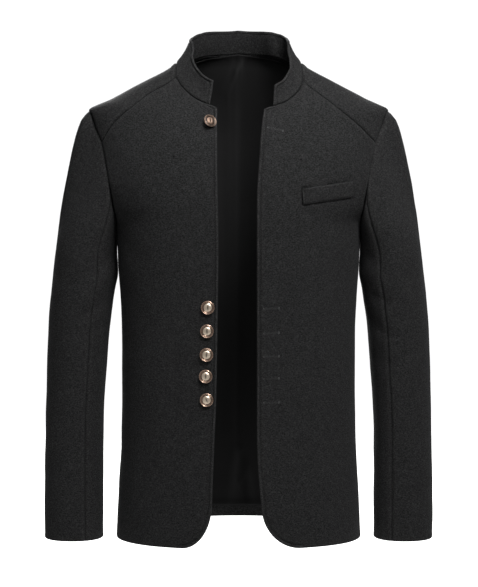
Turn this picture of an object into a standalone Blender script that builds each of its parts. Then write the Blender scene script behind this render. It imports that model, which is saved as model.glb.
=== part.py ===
"""Mao jacket of felted wool, filled out as if worn and open down the front.

Tables are in millimetres and MM turns them into metres. +X is the wearer's left, -Y the
front and +Z up. z = 0 is the level of the high points of the shoulders.

The trunk of the jacket is one smooth form: a rounded ring at each level, from the BODY table.
Its panels are laid out on a flat chart of that form, as a cutter lays out a pattern. A chart
point is (across, fold): fold is 0 on the ridge of the shoulders, below 0 on the front and above
0 on the back, and it grows with the drop below the ridge.
"""

import math
from collections import namedtuple

import bpy
import numpy as np
from mathutils import Vector
from mathutils.bvhtree import BVHTree

NAME = "mao_jacket"
MM = 0.001

WALL = 2.2
COLLAR_WALL = 3.0
LINING_WALL = 1.0
SEAM_GAP = 0.35
LINING_GAP = 0.9
LINING_INSET = 3.0
LINING_TURN_IN = 1.8

FRONT, BACK = -1, 1
SIDES = {"right": -1, "left": 1}

UNDERARM = -245
HEM = -712.5
HEM_BACK_LIFT = 6.5
SIDE_ROWS = (-285, -325, -370, -415, -460, -505, -550, -592, -630, -662, -688, HEM)
ARMHOLE_FRONT_STEPS = 6
ARMHOLE_BACK_STEPS = 12
YOKE_STEPS = 6
NECK_FRONT_STEPS = 4
NECK_BACK_STEPS = 14
CORNER_STEPS = 3

FOLD_POWER = 2.5
DENSE = 300
STEP_POINTS = 12
CORNER_FADE = 1.2
CORNER_FADE_END = 0.3
PROBE = 0.05
SEAM_LIFT = 0.2

# A ring of the trunk at each level. square is 2 for an ellipse and more for a boxier ring.
Level = namedtuple("Level", "height half front back square")
BODY = (
    Level(22, 2, 16, 58, 2.2),
    Level(15, 50, 19, 62, 2.25),
    Level(9, 67, 21, 63, 2.3),
    Level(4, 80, 24, 64, 2.3),
    Level(-3.5, 93, 27, 66, 2.35),
    Level(-13, 105, 31.5, 69.5, 2.4),
    Level(-30.5, 138, 40, 77, 2.45),
    Level(-57.5, 189, 58, 89.5, 2.45),
    Level(-77.5, 225, 71, 97.5, 2.45),
    Level(-100, 219.5, 84, 105, 2.45),
    Level(-123, 216, 95, 110, 2.45),
    Level(-150, 215, 104, 114, 2.45),
    Level(-179, 213, 111, 117, 2.45),
    Level(-217, 199, 117, 118, 2.45),
    Level(UNDERARM, 182.3, 119, 117, 2.45),
    Level(-300, 180.3, 120, 112, 2.4),
    Level(-348, 177, 119, 107, 2.4),
    Level(-403, 174.5, 119, 104, 2.35),
    Level(-469, 174.5, 120, 106, 2.35),
    Level(-568, 176, 122, 115, 2.35),
    Level(-650, 180.5, 125, 125, 2.35),
    Level(HEM, 183.5, 127, 130, 2.35),
)

# Where a seam passes: distance from the centre line and height.
Mark = namedtuple("Mark", "across height")
SHOULDER_POINT = Mark(225, -77.5)
YOKE_END = Mark(202, -124)
NECK_POINT = Mark(93, -3.5)
NECK_BACK = (Mark(80, 0), Mark(50, 10), Mark(0, 14.5))
NECK_FRONT = {
    "right": (Mark(93, -27), Mark(84, -41), Mark(71, -54), Mark(54, -65), Mark(42.3, -69.5)),
    "left": (Mark(95, -32), Mark(92, -43), Mark(84, -53), Mark(71, -64), Mark(50.5, -72)),
}
YOKE = {
    "right": (Mark(125, -48), Mark(151, -68), Mark(183, -96)),
    "left": (Mark(119, -53), Mark(150, -78), Mark(182, -105)),
}
FRONT_EDGE = {
    "right": (Mark(31.2, -74.6), Mark(30.9, -153), Mark(29.2, -281), Mark(29.7, -338),
              Mark(32.2, -496), Mark(34.7, -553), Mark(38.4, -648)),
    "left": (Mark(37.1, -76.4), Mark(33.4, -105), Mark(29.6, -153), Mark(26.6, -212),
             Mark(26.5, -300), Mark(26.5, -553), Mark(28.9, -604), Mark(33, -650)),
}
HEM_CORNER_WIDTH = {"right": 44, "left": 58}
ARMHOLE_FRONT = (Mark(196.5, -150), Mark(191, -179), Mark(184.5, -217), Mark(182, -236))
ARMHOLE_SHOULDER = (Mark(212, -100),)

# The back of the armhole: how far it lies behind the shoulder point at each height.
Notch = namedtuple("Notch", "behind height")
ARMHOLE_BACK = (Notch(35, -97), Notch(52, -123), Notch(62, -150), Notch(68, -179),
                Notch(64, -210), Notch(45, -234))

# A ring of a sleeve at each level: its outer and inner side, half its depth, and how far
# forward its middle lies.
Ring = namedtuple("Ring", "height outer inner deep ahead")
SLEEVE = (
    Ring(-77.5, 226, 205, 40, 0),
    Ring(-91, 237, 203, 50, 0),
    Ring(-125, 248, 198, 58, -1),
    Ring(-177, 259, 189, 64, -2),
    Ring(-228, 268, 184, 66, -3),
    Ring(UNDERARM, 270, 182.9, 66.5, -3),
    Ring(-286, 275, 182.2, 66.5, -4),
    Ring(-315, 278, 181, 65, -4),
    Ring(-345, 281, 186, 63, -3),
    Ring(-403, 285.4, 194, 58.5, -1),
    Ring(-460, 287.5, 198, 54.5, 2),
    Ring(-520, 289, 202, 52, 5),
    Ring(-590, 290, 203, 49.5, 9),
    Ring(-667, 291, 203, 47, 13),
    Ring(-713, 290.5, 203, 46, 15),
)
SLEEVE_SQUARE = 2.15
CAP_FOOT = -300
CAP_STEPS = 7
ARM_STEPS = 9
FRONT_SEAM_ANGLE = 125
BACK_SEAM_ANGLE = -105

# How the collar rises from the neck seam, from the centre back to its end. share is how far
# round from the centre back to that end.
Rise = namedtuple("Rise", "share inward forward up")
COLLAR = {
    "right": (Rise(0, 0, 6, 34.8), Rise(0.22, 7, 5.2, 36), Rise(0.3, 10.5, 4.5, 38.7),
              Rise(0.35, 13, 4, 39.7), Rise(0.41, 16, 3, 37.5), Rise(0.49, 20, 2, 34),
              Rise(0.62, 26, -2, 31), Rise(0.72, 22, -5, 32), Rise(0.82, 16, -7, 34),
              Rise(0.92, 9, -8, 35.5), Rise(1, 5.5, -8, 35)),
    "left": (Rise(0, 0, 6, 34.8), Rise(0.22, 7, 5.2, 36), Rise(0.3, 10, 4.5, 38.7),
             Rise(0.35, 12, 4, 39.7), Rise(0.41, 14.5, 3, 37.5), Rise(0.49, 18, 2, 34),
             Rise(0.62, 20, -2, 31), Rise(0.72, 17, -5, 32), Rise(0.82, 11, -8, 32),
             Rise(0.92, 4, -9, 31.5), Rise(1, -2.5, -10, 31)),
}
COLLAR_STEPS = 4
COLLAR_HOLLOW = 1.5

# The pleat of the lining runs down the centre back, deepest at the neck. Its lines lie beside
# the centre column of the back, in shares of a column.
PLEAT_LINES = (-0.75, -0.4, -0.1, 0.15, 0.5)
PLEAT_RISES = (0.2, 0.4, 1, 0.6, 0.25)
PLEAT_TOP = 6
PLEAT_FOOT = 2

# The chest welt: its corners, and how far it stands off the panel.
WELT_CORNERS = ((Mark(91.5, -194), Mark(166, -182)), (Mark(92.5, -216.5), Mark(167.5, -205)))
WELT_STEPS = (14, 3)
WELT_GAP = 0.55
WELT_WALL = 2.0

BUTTONS = (Mark(-43, -97), Mark(-44, -364), Mark(-45.2, -398), Mark(-45.8, -432),
           Mark(-47, -463), Mark(-45.6, -497))
# Half of a button's section, from the middle of its face to the foot of its shank.
Turn = namedtuple("Turn", "radius height")
BUTTON = (Turn(0, 5.0), Turn(3.6, 4.8), Turn(5.6, 4.0), Turn(6.2, 3.0), Turn(7.5, 3.0),
          Turn(8.2, 4.2), Turn(9.2, 4.2), Turn(9.8, 3.4), Turn(9.0, 2.0), Turn(2.6, 1.8),
          Turn(2.4, 0), Turn(0, 0))
BUTTON_STEPS = 16

# Finishes: colour, roughness and metallic value.
Finish = namedtuple("Finish", "colour roughness metallic")
WOOL = Finish((0.024, 0.024, 0.026), 0.9, 0)
SATIN = Finish((0.010, 0.010, 0.011), 0.4, 0)
ROSE_GOLD = Finish((0.72, 0.45, 0.33), 0.25, 1)


# Curves and the form of the trunk

def smooth(knots, values, at):
    """Monotone cubic through the rows of a table, which never overshoots them."""
    knots = np.asarray(knots, float)
    values = np.asarray(values, float)
    step = np.diff(knots)
    rise = np.diff(values) / step
    slope = np.zeros_like(values)
    before, after = rise[:-1], rise[1:]
    steady = before * after > 0
    total = np.where(steady, before + after, 1)
    slope[1:-1] = np.where(steady, 2 * before * after / total, 0)
    slope[0], slope[-1] = rise[0], rise[-1]
    at = np.clip(np.asarray(at, float), knots[0], knots[-1])
    row = np.clip(np.searchsorted(knots, at, side="right") - 1, 0, len(step) - 1)
    t = (at - knots[row]) / step[row]
    start = values[row] * (1 + 2 * t) + slope[row] * step[row] * t
    end = values[row + 1] * (3 - 2 * t) - slope[row + 1] * step[row] * (1 - t)
    return start * (1 - t) ** 2 + end * t ** 2


def column(table, name, height):
    """A named column of a table of levels, at any height."""
    drops = [-row.height for row in table]
    return smooth(drops, [getattr(row, name) for row in table], -np.asarray(height, float))


RIDGE_HEIGHTS = np.linspace(BODY[0].height, SHOULDER_POINT.height, 800)
RIDGE_ACROSS = column(BODY, "half", RIDGE_HEIGHTS)


def ridge(across):
    """Height of the shoulder line above a point across the body."""
    return np.interp(np.abs(across), RIDGE_ACROSS, RIDGE_HEIGHTS)


def depth_at(across, height, back):
    """How far in front (below 0) or behind the trunk's wall lies."""
    reach = np.where(back, column(BODY, "back", height), -column(BODY, "front", height))
    square = column(BODY, "square", height)
    left = 1 - (np.abs(across) / column(BODY, "half", height)) ** square
    return reach * np.clip(left, 0, 1) ** (1 / square)


def to_chart(across, height, face):
    """Chart point of a place on the trunk, given as seen from the front."""
    drop = np.clip(ridge(across) - height, 0, None)
    return np.stack(np.broadcast_arrays(across, face * drop ** (1 / FOLD_POWER)), -1)


def to_space(chart):
    """Points of the trunk's outer surface, in millimetres."""
    across, fold = chart[..., 0], chart[..., 1]
    height = ridge(across) - np.abs(fold) ** FOLD_POWER
    return np.stack([across, depth_at(across, height, fold > 0), height], -1)


def ring_value(points):
    """1 on the trunk's surface, less inside it and more outside it."""
    across, depth, height = np.moveaxis(points, -1, 0)
    square = column(BODY, "square", height)
    reach = np.where(depth > 0, column(BODY, "back", height), column(BODY, "front", height))
    return (np.abs(across) / column(BODY, "half", height)) ** square \
        + (np.abs(depth) / reach) ** square


def unit(vectors):
    """Vectors of length 1."""
    return vectors / np.linalg.norm(vectors, axis=-1, keepdims=True)


def outward(points):
    """Directions that point straight out of the trunk's surface."""
    steps = np.eye(3) * PROBE
    return unit(np.stack([ring_value(points + s) - ring_value(points - s) for s in steps], -1))


def run_of(points):
    """How far along a path each of its points lies, as a share of the whole."""
    lengths = np.linalg.norm(np.diff(points, axis=0), axis=1)
    run = np.concatenate([[0], np.cumsum(lengths)])
    return run / run[-1]


def along(path, shares):
    """Chart points at these shares of a path's real length."""
    run = run_of(to_space(path))
    return np.stack([np.interp(shares, run, path[:, k]) for k in (0, 1)], -1)


def seam(*marks):
    """Chart path of a seam through (side, mark, face) rows, with a smooth bend at each."""
    knots = np.array([to_chart(side * mark.across, mark.height, face)
                      for side, mark, face in marks])
    run = run_of(to_space(knots))
    at = np.linspace(0, 1, DENSE)
    return np.stack([smooth(run, knots[:, k], at) for k in (0, 1)], -1)


def joined(*pieces):
    """One path from (path, steps) pieces end to end, and the shares where its vertices lie."""
    path = np.concatenate([pieces[0][0]] + [piece[1:] for piece, _ in pieces[1:]])
    run = run_of(to_space(path))
    shares, start = [0.0], 0
    for piece, steps in pieces:
        end = start + len(piece) - 1
        shares += list(np.linspace(run[start], run[end], steps + 1)[1:])
        start = end
    return path, np.array(shares)


def rounded_off(path, width):
    """A path of even steps with its corners rounded over this many steps, its ends kept."""
    before = 2 * path[0] - path[width:0:-1]
    after = 2 * path[-1] - path[-2:-width - 2:-1]
    longer = np.concatenate([before, path, after])
    weight = np.full(2 * width + 1, 1 / (2 * width + 1))
    return np.stack([np.convolve(longer[:, k], weight, "valid") for k in (0, 1)], -1)


def panel(top, bottom, start, end):
    """Chart grid of a panel between a top and a bottom (path, shares) and its two sides. The
    corners of the top fade out in the rows below it."""
    across = np.linspace(0, 1, DENSE)
    (top_path, top_shares), (bottom_path, bottom_shares) = top, bottom
    high, low = along(top_path, across), along(bottom_path, across)
    drop = (end[:, 1] - end[0, 1]) / (end[-1, 1] - end[0, 1])
    rows = [along(top_path, top_shares)]
    for share, first, last in zip(drop[1:-1], start[1:-1], end[1:-1]):
        width = int(DENSE * min(CORNER_FADE * share, CORNER_FADE_END))
        row = (1 - share) * rounded_off(high, width) + share * low
        row = row + np.outer(1 - across, first - row[0]) + np.outer(across, last - row[-1])
        rows.append(along(row, (1 - share) * top_shares + share * bottom_shares))
    rows.append(along(bottom_path, bottom_shares))
    return np.array(rows)


# Seams of the trunk

def yoke_seam(name):
    """From the neck to the armhole, in front of the shoulder."""
    side = SIDES[name]
    marks = (NECK_FRONT[name][0],) + YOKE[name] + (YOKE_END,)
    return seam(*[(side, mark, FRONT) for mark in marks])


def back_neck_seam():
    """From the right yoke seam round the back of the neck to the left one."""
    right = [(-1, NECK_FRONT["right"][0], FRONT), (-1, NECK_POINT, BACK)]
    right += [(-1, mark, BACK) for mark in NECK_BACK[:-1]]
    left = [(1, mark, BACK) for mark in reversed(NECK_BACK[:-1])]
    left += [(1, NECK_POINT, BACK), (1, NECK_FRONT["left"][0], FRONT)]
    return seam(*right, (1, NECK_BACK[-1], BACK), *left)


def front_neck_seam(name):
    """From the collar's end to the yoke seam."""
    return seam(*[(SIDES[name], mark, FRONT) for mark in reversed(NECK_FRONT[name])])


def front_edge(name):
    """From the top corner of a front to the middle of its rounded hem corner, and on to the
    hem, as two paths."""
    side = SIDES[name]
    marks = FRONT_EDGE[name]
    straight = seam(*[(side, mark, FRONT) for mark in marks])
    width, height = HEM_CORNER_WIDTH[name], marks[-1].height - HEM
    paths = []
    for low, high in ((0, math.pi / 4), (math.pi / 4, math.pi / 2)):
        turn = np.linspace(low, high, DENSE // 4)
        across = marks[-1].across + width * (1 - np.cos(turn))
        paths.append(to_chart(side * across, marks[-1].height - height * np.sin(turn), FRONT))
    return np.concatenate([straight, paths[0][1:]]), paths[1]


def hem_line(first, last, face):
    """Along the hem between two turns round the body, where -90 and 90 are its sides."""
    turn = np.radians(np.linspace(first, last, DENSE))
    half, square = BODY[-1].half, BODY[-1].square
    across = half * np.sign(turn) * np.abs(np.sin(turn)) ** (2 / square)
    lift = HEM_BACK_LIFT * np.cos(turn) ** 2 if face == BACK else 0
    return to_chart(across, HEM + lift, face)


def side_rows(side, face):
    """Chart points of the side seam below the underarm."""
    heights = np.array(SIDE_ROWS, float)
    return to_chart(side * column(BODY, "half", heights), heights, face)


def armhole_front(side):
    """From the yoke seam down the front of the armhole to the underarm."""
    underarm = Mark(float(column(BODY, "half", UNDERARM)), UNDERARM)
    marks = (YOKE_END,) + ARMHOLE_FRONT + (underarm,)
    return seam(*[(side, mark, FRONT) for mark in marks])


def armhole_back(side):
    """From the yoke seam over the shoulder point and down the back to the underarm."""
    rows = [(side, YOKE_END, FRONT)] + [(side, mark, FRONT) for mark in ARMHOLE_SHOULDER]
    rows.append((side, SHOULDER_POINT, BACK))
    for notch in ARMHOLE_BACK:
        level = [float(column(BODY, name, notch.height)) for name in ("half", "back", "square")]
        half, back, square = level
        across = half * (1 - (notch.behind / back) ** square) ** (1 / square)
        rows.append((side, Mark(across, notch.height), BACK))
    rows.append((side, Mark(float(column(BODY, "half", UNDERARM)), UNDERARM), BACK))
    return seam(*rows)


def evenly(path, steps):
    """Chart points that part a path into equal lengths."""
    return along(path, np.linspace(0, 1, steps + 1))


# Grids of the trunk's panels

def front_grid(name):
    """A front: rows run from its edge to the armhole and side, columns from neck to hem."""
    side = SIDES[name]
    edge, corner = front_edge(name)
    neck = front_neck_seam(name)
    step = np.linspace(edge[0], neck[0], STEP_POINTS)
    top = joined((step, 1), (neck, NECK_FRONT_STEPS), (yoke_seam(name), YOKE_STEPS))
    turn = np.degrees(np.arcsin((np.abs(corner[-1, 0]) / BODY[-1].half) ** (BODY[-1].square / 2)))
    hem = hem_line(side * turn, side * 90, FRONT)
    hem_steps = 1 + NECK_FRONT_STEPS + YOKE_STEPS - CORNER_STEPS
    bottom = joined((corner, CORNER_STEPS), (hem, hem_steps))
    end = np.concatenate([evenly(armhole_front(side), ARMHOLE_FRONT_STEPS),
                          side_rows(side, FRONT)])
    drop = (end[:, 1] - end[0, 1]) / (end[-1, 1] - end[0, 1])
    folds = edge[0, 1] + drop * (edge[-1, 1] - edge[0, 1])
    start = np.stack([np.interp(-folds, -edge[:, 1], edge[:, 0]), folds], -1)
    return panel(top, bottom, start, end)


def back_sides():
    """The right and the left side of the back, from the yoke seam to the hem."""
    return [np.concatenate([evenly(armhole_back(side), ARMHOLE_BACK_STEPS),
                            side_rows(side, BACK)]) for side in (-1, 1)]


def back_grid():
    """The back: rows run from its right side to its left, columns from the neck to the hem.
    Its upper edge goes up one yoke seam, round the neck and down the other."""
    top = joined((yoke_seam("right")[::-1], YOKE_STEPS), (back_neck_seam(), NECK_BACK_STEPS),
                 (yoke_seam("left"), YOKE_STEPS))
    steps = NECK_BACK_STEPS + 2 * YOKE_STEPS
    bottom = (hem_line(-90, 90, BACK), np.linspace(0, 1, steps + 1))
    return panel(top, bottom, *back_sides())


def lining_grid(back):
    """The back's grid down to the hem allowance, with the lines of the pleat let in, and how
    far the pleat stands in at each point of it."""
    middle = back.shape[1] // 2
    lines = set(range(back.shape[1])) - {middle}
    lines = np.array(sorted(lines | {middle + line for line in PLEAT_LINES}))
    before = np.minimum(lines.astype(int), back.shape[1] - 2)
    past = (lines - before)[None, :, None]
    grid = (back[:-1, before] * (1 - past) + back[:-1, before + 1] * past)
    rise = np.interp(lines - middle, PLEAT_LINES, PLEAT_RISES, left=0, right=0)
    return grid, np.outer(np.linspace(PLEAT_TOP, PLEAT_FOOT, len(grid)), rise)


# Walls

def trim(outer, inner, row_edges, column_edges, gap):
    """Draws the named edges of a wall back from a seam, by gap."""
    for grid in (outer, inner):
        for edge in row_edges:
            toward = grid[1 if edge == 0 else -2] - grid[edge]
            grid[edge] += gap * unit(toward)
        for edge in column_edges:
            toward = grid[:, 1 if edge == 0 else -2] - grid[:, edge]
            grid[:, edge] += gap * unit(toward)


def turned(face):
    """The same four corners the other way round, with the first one kept, so that a wall's
    two sides are parted into triangles along the same diagonals."""
    return face[[0, 3, 2, 1]]


def wall(name, outer, inner, finish, surface=None):
    """A closed cloth wall between an outer and an inner grid of points. Each face is parted
    along its shorter diagonal, as measured on the surface that it was laid out on."""
    surface = outer if surface is None else surface
    rows, columns = outer.shape[:2]
    size = rows * columns
    index = np.arange(size).reshape(rows, columns)
    falling = np.linalg.norm(surface[:-1, :-1] - surface[1:, 1:], axis=-1)
    rising = np.linalg.norm(surface[:-1, 1:] - surface[1:, :-1], axis=-1)
    faces = []
    for row in range(rows - 1):
        for at in range(columns - 1):
            corners = np.array([index[row, at], index[row, at + 1], index[row + 1, at + 1],
                                index[row + 1, at]])
            if rising[row, at] < falling[row, at]:
                corners = np.roll(corners, -1)
            faces.append(corners)
            faces.append(turned(corners) + size)
    rim = np.concatenate([index[0], index[1:, -1], index[-1, -2::-1], index[-2:0:-1, 0]])
    for first, second in zip(rim, np.roll(rim, -1)):
        faces.append(np.array([second, first, first + size, second + size]))
    points = np.concatenate([outer.reshape(-1, 3), inner.reshape(-1, 3)]) * MM
    corner, across, far = (points[np.array(faces)[:, k]] for k in (0, 2, 1))
    if np.sum(corner * np.cross(across, far)) > 0:
        faces = [turned(face) for face in faces]
    mesh = bpy.data.meshes.new(name)
    mesh.from_pydata(points.tolist(), [], np.array(faces).tolist())
    mesh.shade_smooth()
    mesh.set_sharp_from_angle(angle=math.radians(50))
    return add_object(name, mesh, finish)


def add_object(name, mesh, finish):
    """An object of the jacket's collection, with a material of its own."""
    material = bpy.data.materials.new(name)
    material.use_nodes = True
    shader = material.node_tree.nodes["Principled BSDF"]
    shader.inputs["Base Color"].default_value = (*finish.colour, 1)
    shader.inputs["Roughness"].default_value = finish.roughness
    shader.inputs["Metallic"].default_value = finish.metallic
    mesh.materials.append(material)
    obj = bpy.data.objects.new(name, mesh)
    bpy.data.collections[NAME].objects.link(obj)
    return obj


def grid_normals(grid, closed=False):
    """Directions out of a tube of points, whose rows and columns turn as a right-hand screw."""
    if closed:
        around = np.roll(grid, -1, 1) - np.roll(grid, 1, 1)
    else:
        around = np.gradient(grid, axis=1)
    return unit(np.cross(np.gradient(grid, axis=0), around))


def sewn_edge(seam_points, seam_normals, seam_out, grid, normals, thickness):
    """Where a piece starts that is sewn to a seam: its outer and inner first row, clear of
    the rim of the panel that it is sewn to. seam_out points out of that panel, in its
    surface."""
    leaves = unit(grid[1] - grid[0])
    shift = unit(seam_out + leaves + SEAM_LIFT * seam_normals)
    outer = seam_points + SEAM_GAP * shift
    own = -normals[0]
    folds_out = np.sum(own * seam_out, -1, keepdims=True) > 0
    return outer, outer + thickness * np.where(folds_out, own, -seam_normals)


def out_of(points, normals, closed=False):
    """Directions out of a panel at its seam, whose points run with the panel on their right."""
    if closed:
        tangent = np.roll(points, -1, 0) - np.roll(points, 1, 0)
    else:
        tangent = np.gradient(points, axis=0)
    return unit(np.cross(tangent, normals))


# Pieces

def add_trunk():
    """The two fronts and the back. Returns the grids that the other pieces are sewn to."""
    grids = {"front_" + name: front_grid(name) for name in SIDES}
    grids["back"] = back_grid()
    for name, chart in grids.items():
        surface = to_space(chart)
        outer = surface.copy()
        inner = outer - WALL * outward(outer)
        if name != "back":
            # The neckline keeps its place: only the yoke seam and the side are drawn back.
            yoke = 1 + NECK_FRONT_STEPS
            trim(outer[:, yoke:], inner[:, yoke:], [0], [], SEAM_GAP)
            side = ARMHOLE_FRONT_STEPS
            trim(outer[side:], inner[side:], [], [-1], SEAM_GAP)
        wall(name, outer, inner, WOOL, surface)
    return grids


def add_lining(grids):
    """The satin behind the back, with its pleat."""
    chart, pleat = lining_grid(grids["back"])
    surface = to_space(chart)
    normals = outward(surface)
    depth = WALL + LINING_GAP + pleat[..., None]
    depth[0] += LINING_TURN_IN
    depth[:, [0, -1]] += LINING_TURN_IN
    outer = surface - depth * normals
    inner = outer - LINING_WALL * normals
    trim(outer, inner, [0], [0, -1], LINING_INSET)
    wall("back_lining", outer, inner, SATIN, surface)


def neck_seam(grids):
    """The whole neck seam, from the right end of the collar to its left end."""
    stop = 1 + NECK_FRONT_STEPS
    back = grids["back"][0, YOKE_STEPS:YOKE_STEPS + NECK_BACK_STEPS + 1]
    return np.concatenate([grids["front_right"][0, 1:stop], back,
                           grids["front_left"][0, stop - 1:0:-1]])


def add_collar(grids):
    """A stand collar, open in front."""
    foot = to_space(neck_seam(grids))
    normals = outward(foot)
    run = run_of(foot)
    middle = run[len(run) // 2]
    rise = np.zeros_like(foot)
    for name, side in SIDES.items():
        share = (run - middle) * side / (1 - middle if side > 0 else middle)
        held = share >= 0
        rows = COLLAR[name]
        for axis, column_name, sign in ((0, "inward", -side), (1, "forward", -1), (2, "up", 1)):
            values = [getattr(row, column_name) for row in rows]
            moved = smooth([row.share for row in rows], values, share[held])
            rise[held, axis] = sign * moved
    up = np.linspace(0, 1, COLLAR_STEPS + 1)[:, None, None]
    grid = foot + up * rise
    bow = COLLAR_HOLLOW * np.sin(math.pi * up)
    faces = grid_normals(grid)
    grid = grid - bow * faces
    inner = grid - COLLAR_WALL * faces
    out = out_of(foot, normals)
    grid[0], inner[0] = sewn_edge(foot, normals, out, grid, faces, COLLAR_WALL)
    wall("collar", grid, inner, WOOL)


def sleeve_point(angle, height):
    """A point of the plain sleeve: angle 0 is its outer side and 90 its front."""
    outer, inner, deep, ahead = (column(SLEEVE, name, height)
                                 for name in ("outer", "inner", "deep", "ahead"))
    turn = np.radians(angle)
    power = 2 / SLEEVE_SQUARE
    across = np.sign(np.cos(turn)) * np.abs(np.cos(turn)) ** power
    ahead_part = np.sign(np.sin(turn)) * np.abs(np.sin(turn)) ** power
    return np.stack([(outer + inner) / 2 + across * (outer - inner) / 2,
                     -ahead - ahead_part * deep, height], -1)


def armhole_loop():
    """The left armhole, from the underarm up the front and down the back, and its angles
    round the sleeve."""
    front = evenly(armhole_front(1), ARMHOLE_FRONT_STEPS)[::-1]
    back = evenly(armhole_back(1), ARMHOLE_BACK_STEPS)
    loop = to_space(np.concatenate([front, back[1:-1]]))
    whole = np.concatenate([loop, loop[:1]])
    run = run_of(whole)[:-1]
    top = run[np.argmax(loop[:, 2])]
    angles = np.where(run <= top, 180 * (1 - run / top), -180 * (run - top) / (1 - top))
    return loop, angles


def sleeve_grid():
    """The left sleeve: rows go down from the armhole to the cuff, columns go round."""
    loop, angles = armhole_loop()
    starts = loop[:, 2]
    heights = [starts + (CAP_FOOT - starts) * row / CAP_STEPS for row in range(CAP_STEPS + 1)]
    cuff = SLEEVE[-1].height
    for row in range(1, ARM_STEPS + 1):
        heights.append(np.full(len(loop), CAP_FOOT + (cuff - CAP_FOOT) * row / ARM_STEPS))
    pull = loop - sleeve_point(angles, starts)
    grid = []
    for height in heights:
        down = np.clip((starts - height) / (starts - CAP_FOOT), 0, 1)
        fade = (1 - down) ** 2 * (1 + 2 * down)
        grid.append(sleeve_point(angles, height) + pull * fade[:, None])
    return np.array(grid), angles


def add_sleeves():
    """Two sleeves, each of a top and an under half that meet at two seams."""
    grid, angles = sleeve_grid()
    loop = grid[0].copy()
    normals = grid_normals(grid, closed=True)
    seam_normals = outward(loop)
    out = out_of(loop, seam_normals, closed=True)
    inner = grid - WALL * normals
    grid[0], inner[0] = sewn_edge(loop, seam_normals, out, grid, normals, WALL)
    count = len(angles)
    front = int(np.argmin(np.abs(angles - FRONT_SEAM_ANGLE)))
    back = int(np.argmin(np.abs(angles - BACK_SEAM_ANGLE)))
    halves = {"sleeve_top": range(front, back + 1),
              "sleeve_under": range(back, count + front + 1)}
    for half, columns in halves.items():
        columns = [at % count for at in columns]
        for name, side in SIDES.items():
            shown, hidden = grid[:, columns].copy(), inner[:, columns].copy()
            if half == "sleeve_under":
                trim(shown, hidden, [], [0, -1], SEAM_GAP)
            shown[..., 0] *= side
            hidden[..., 0] *= side
            wall(f"{half}_{name}", shown, hidden, WOOL)


def surface_of(name):
    """A function that gives the place and direction of a piece's face, seen from the front."""
    mesh = bpy.data.objects[name].data
    mesh.calc_loop_triangles()
    tree = BVHTree.FromPolygons([v.co for v in mesh.vertices],
                                [list(t.vertices) for t in mesh.loop_triangles])

    def look(across, height):
        start = Vector((across * MM, -1, height * MM))
        place, normal, _, _ = tree.ray_cast(start, Vector((0, 1, 0)))
        return np.array(place) / MM, np.array(normal)
    return look


def add_welt():
    """The chest pocket's welt, laid on the left front."""
    look = surface_of("front_left")
    outer, inner = [], []
    for down in np.linspace(0, 1, WELT_STEPS[1] + 1):
        ends = [np.array(WELT_CORNERS[0][k]) * (1 - down) + np.array(WELT_CORNERS[1][k]) * down
                for k in (0, 1)]
        line = [ends[0] * (1 - along_it) + ends[1] * along_it
                for along_it in np.linspace(0, 1, WELT_STEPS[0] + 1)]
        places = [look(*point)[0] for point in line]
        face = outward(np.array(places))
        inner.append(places + WELT_GAP * face)
        outer.append(places + (WELT_GAP + WELT_WALL) * face)
    wall("chest_welt", np.array(outer), np.array(inner), WOOL)


def add_buttons():
    """Shank buttons down the right front, each turned about its own middle."""
    look = surface_of("front_right")
    for number, mark in enumerate(BUTTONS, 1):
        place, normal = look(*mark)
        name = f"button_{number}"
        mesh = bpy.data.meshes.new(name)
        points = [(turn.radius * MM, 0, turn.height * MM) for turn in BUTTON]
        mesh.from_pydata(points, [(k, k + 1) for k in range(len(points) - 1)], [])
        button = add_object(name, mesh, ROSE_GOLD)
        spin = button.modifiers.new("turned", "SCREW")
        spin.axis = "Z"
        spin.steps = spin.render_steps = BUTTON_STEPS
        spin.use_merge_vertices = True
        spin.merge_threshold = 1e-5
        button.rotation_mode = "QUATERNION"
        button.rotation_quaternion = Vector(normal).to_track_quat("Z", "Y")
        button.location = (place + SEAM_GAP * normal) * MM


def main():
    for obj in list(bpy.data.objects):
        bpy.data.objects.remove(obj)
    collection = bpy.data.collections.new(NAME)
    bpy.context.scene.collection.children.link(collection)
    grids = add_trunk()
    add_lining(grids)
    add_collar(grids)
    add_sleeves()
    add_welt()
    add_buttons()


main()
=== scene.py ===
"""The looks of a mao jacket: felted wool shells, satin back lining, sewing, buttons and stage.

Tables are in millimetres and MM turns them into metres. +X is the wearer's left, -Y the
front and +Z up. z = 0 is the level of the high points of the shoulders.

Every cloth piece is laid out on the same form as its solid: the trunk on rings of the BODY
table, the sleeves on rings of the SLEEVE table, the collar on the neck seam.
"""

import math
from collections import namedtuple

import bpy
import numpy as np
from bpy.props import FloatProperty, FloatVectorProperty, PointerProperty
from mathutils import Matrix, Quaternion, Vector
from mathutils.bvhtree import BVHTree


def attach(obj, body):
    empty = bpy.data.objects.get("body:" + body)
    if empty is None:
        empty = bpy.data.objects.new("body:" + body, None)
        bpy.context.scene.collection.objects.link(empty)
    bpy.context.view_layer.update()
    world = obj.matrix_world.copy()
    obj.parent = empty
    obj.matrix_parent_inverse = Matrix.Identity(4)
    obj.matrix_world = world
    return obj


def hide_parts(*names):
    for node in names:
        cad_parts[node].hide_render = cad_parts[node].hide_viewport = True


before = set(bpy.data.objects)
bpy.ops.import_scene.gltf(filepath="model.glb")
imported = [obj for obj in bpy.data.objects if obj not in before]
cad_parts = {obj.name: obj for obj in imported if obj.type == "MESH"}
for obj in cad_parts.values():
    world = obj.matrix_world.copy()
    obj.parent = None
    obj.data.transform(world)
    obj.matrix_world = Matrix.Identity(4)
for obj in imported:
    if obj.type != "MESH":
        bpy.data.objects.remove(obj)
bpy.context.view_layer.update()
BODY_NAME = "root"

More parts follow.
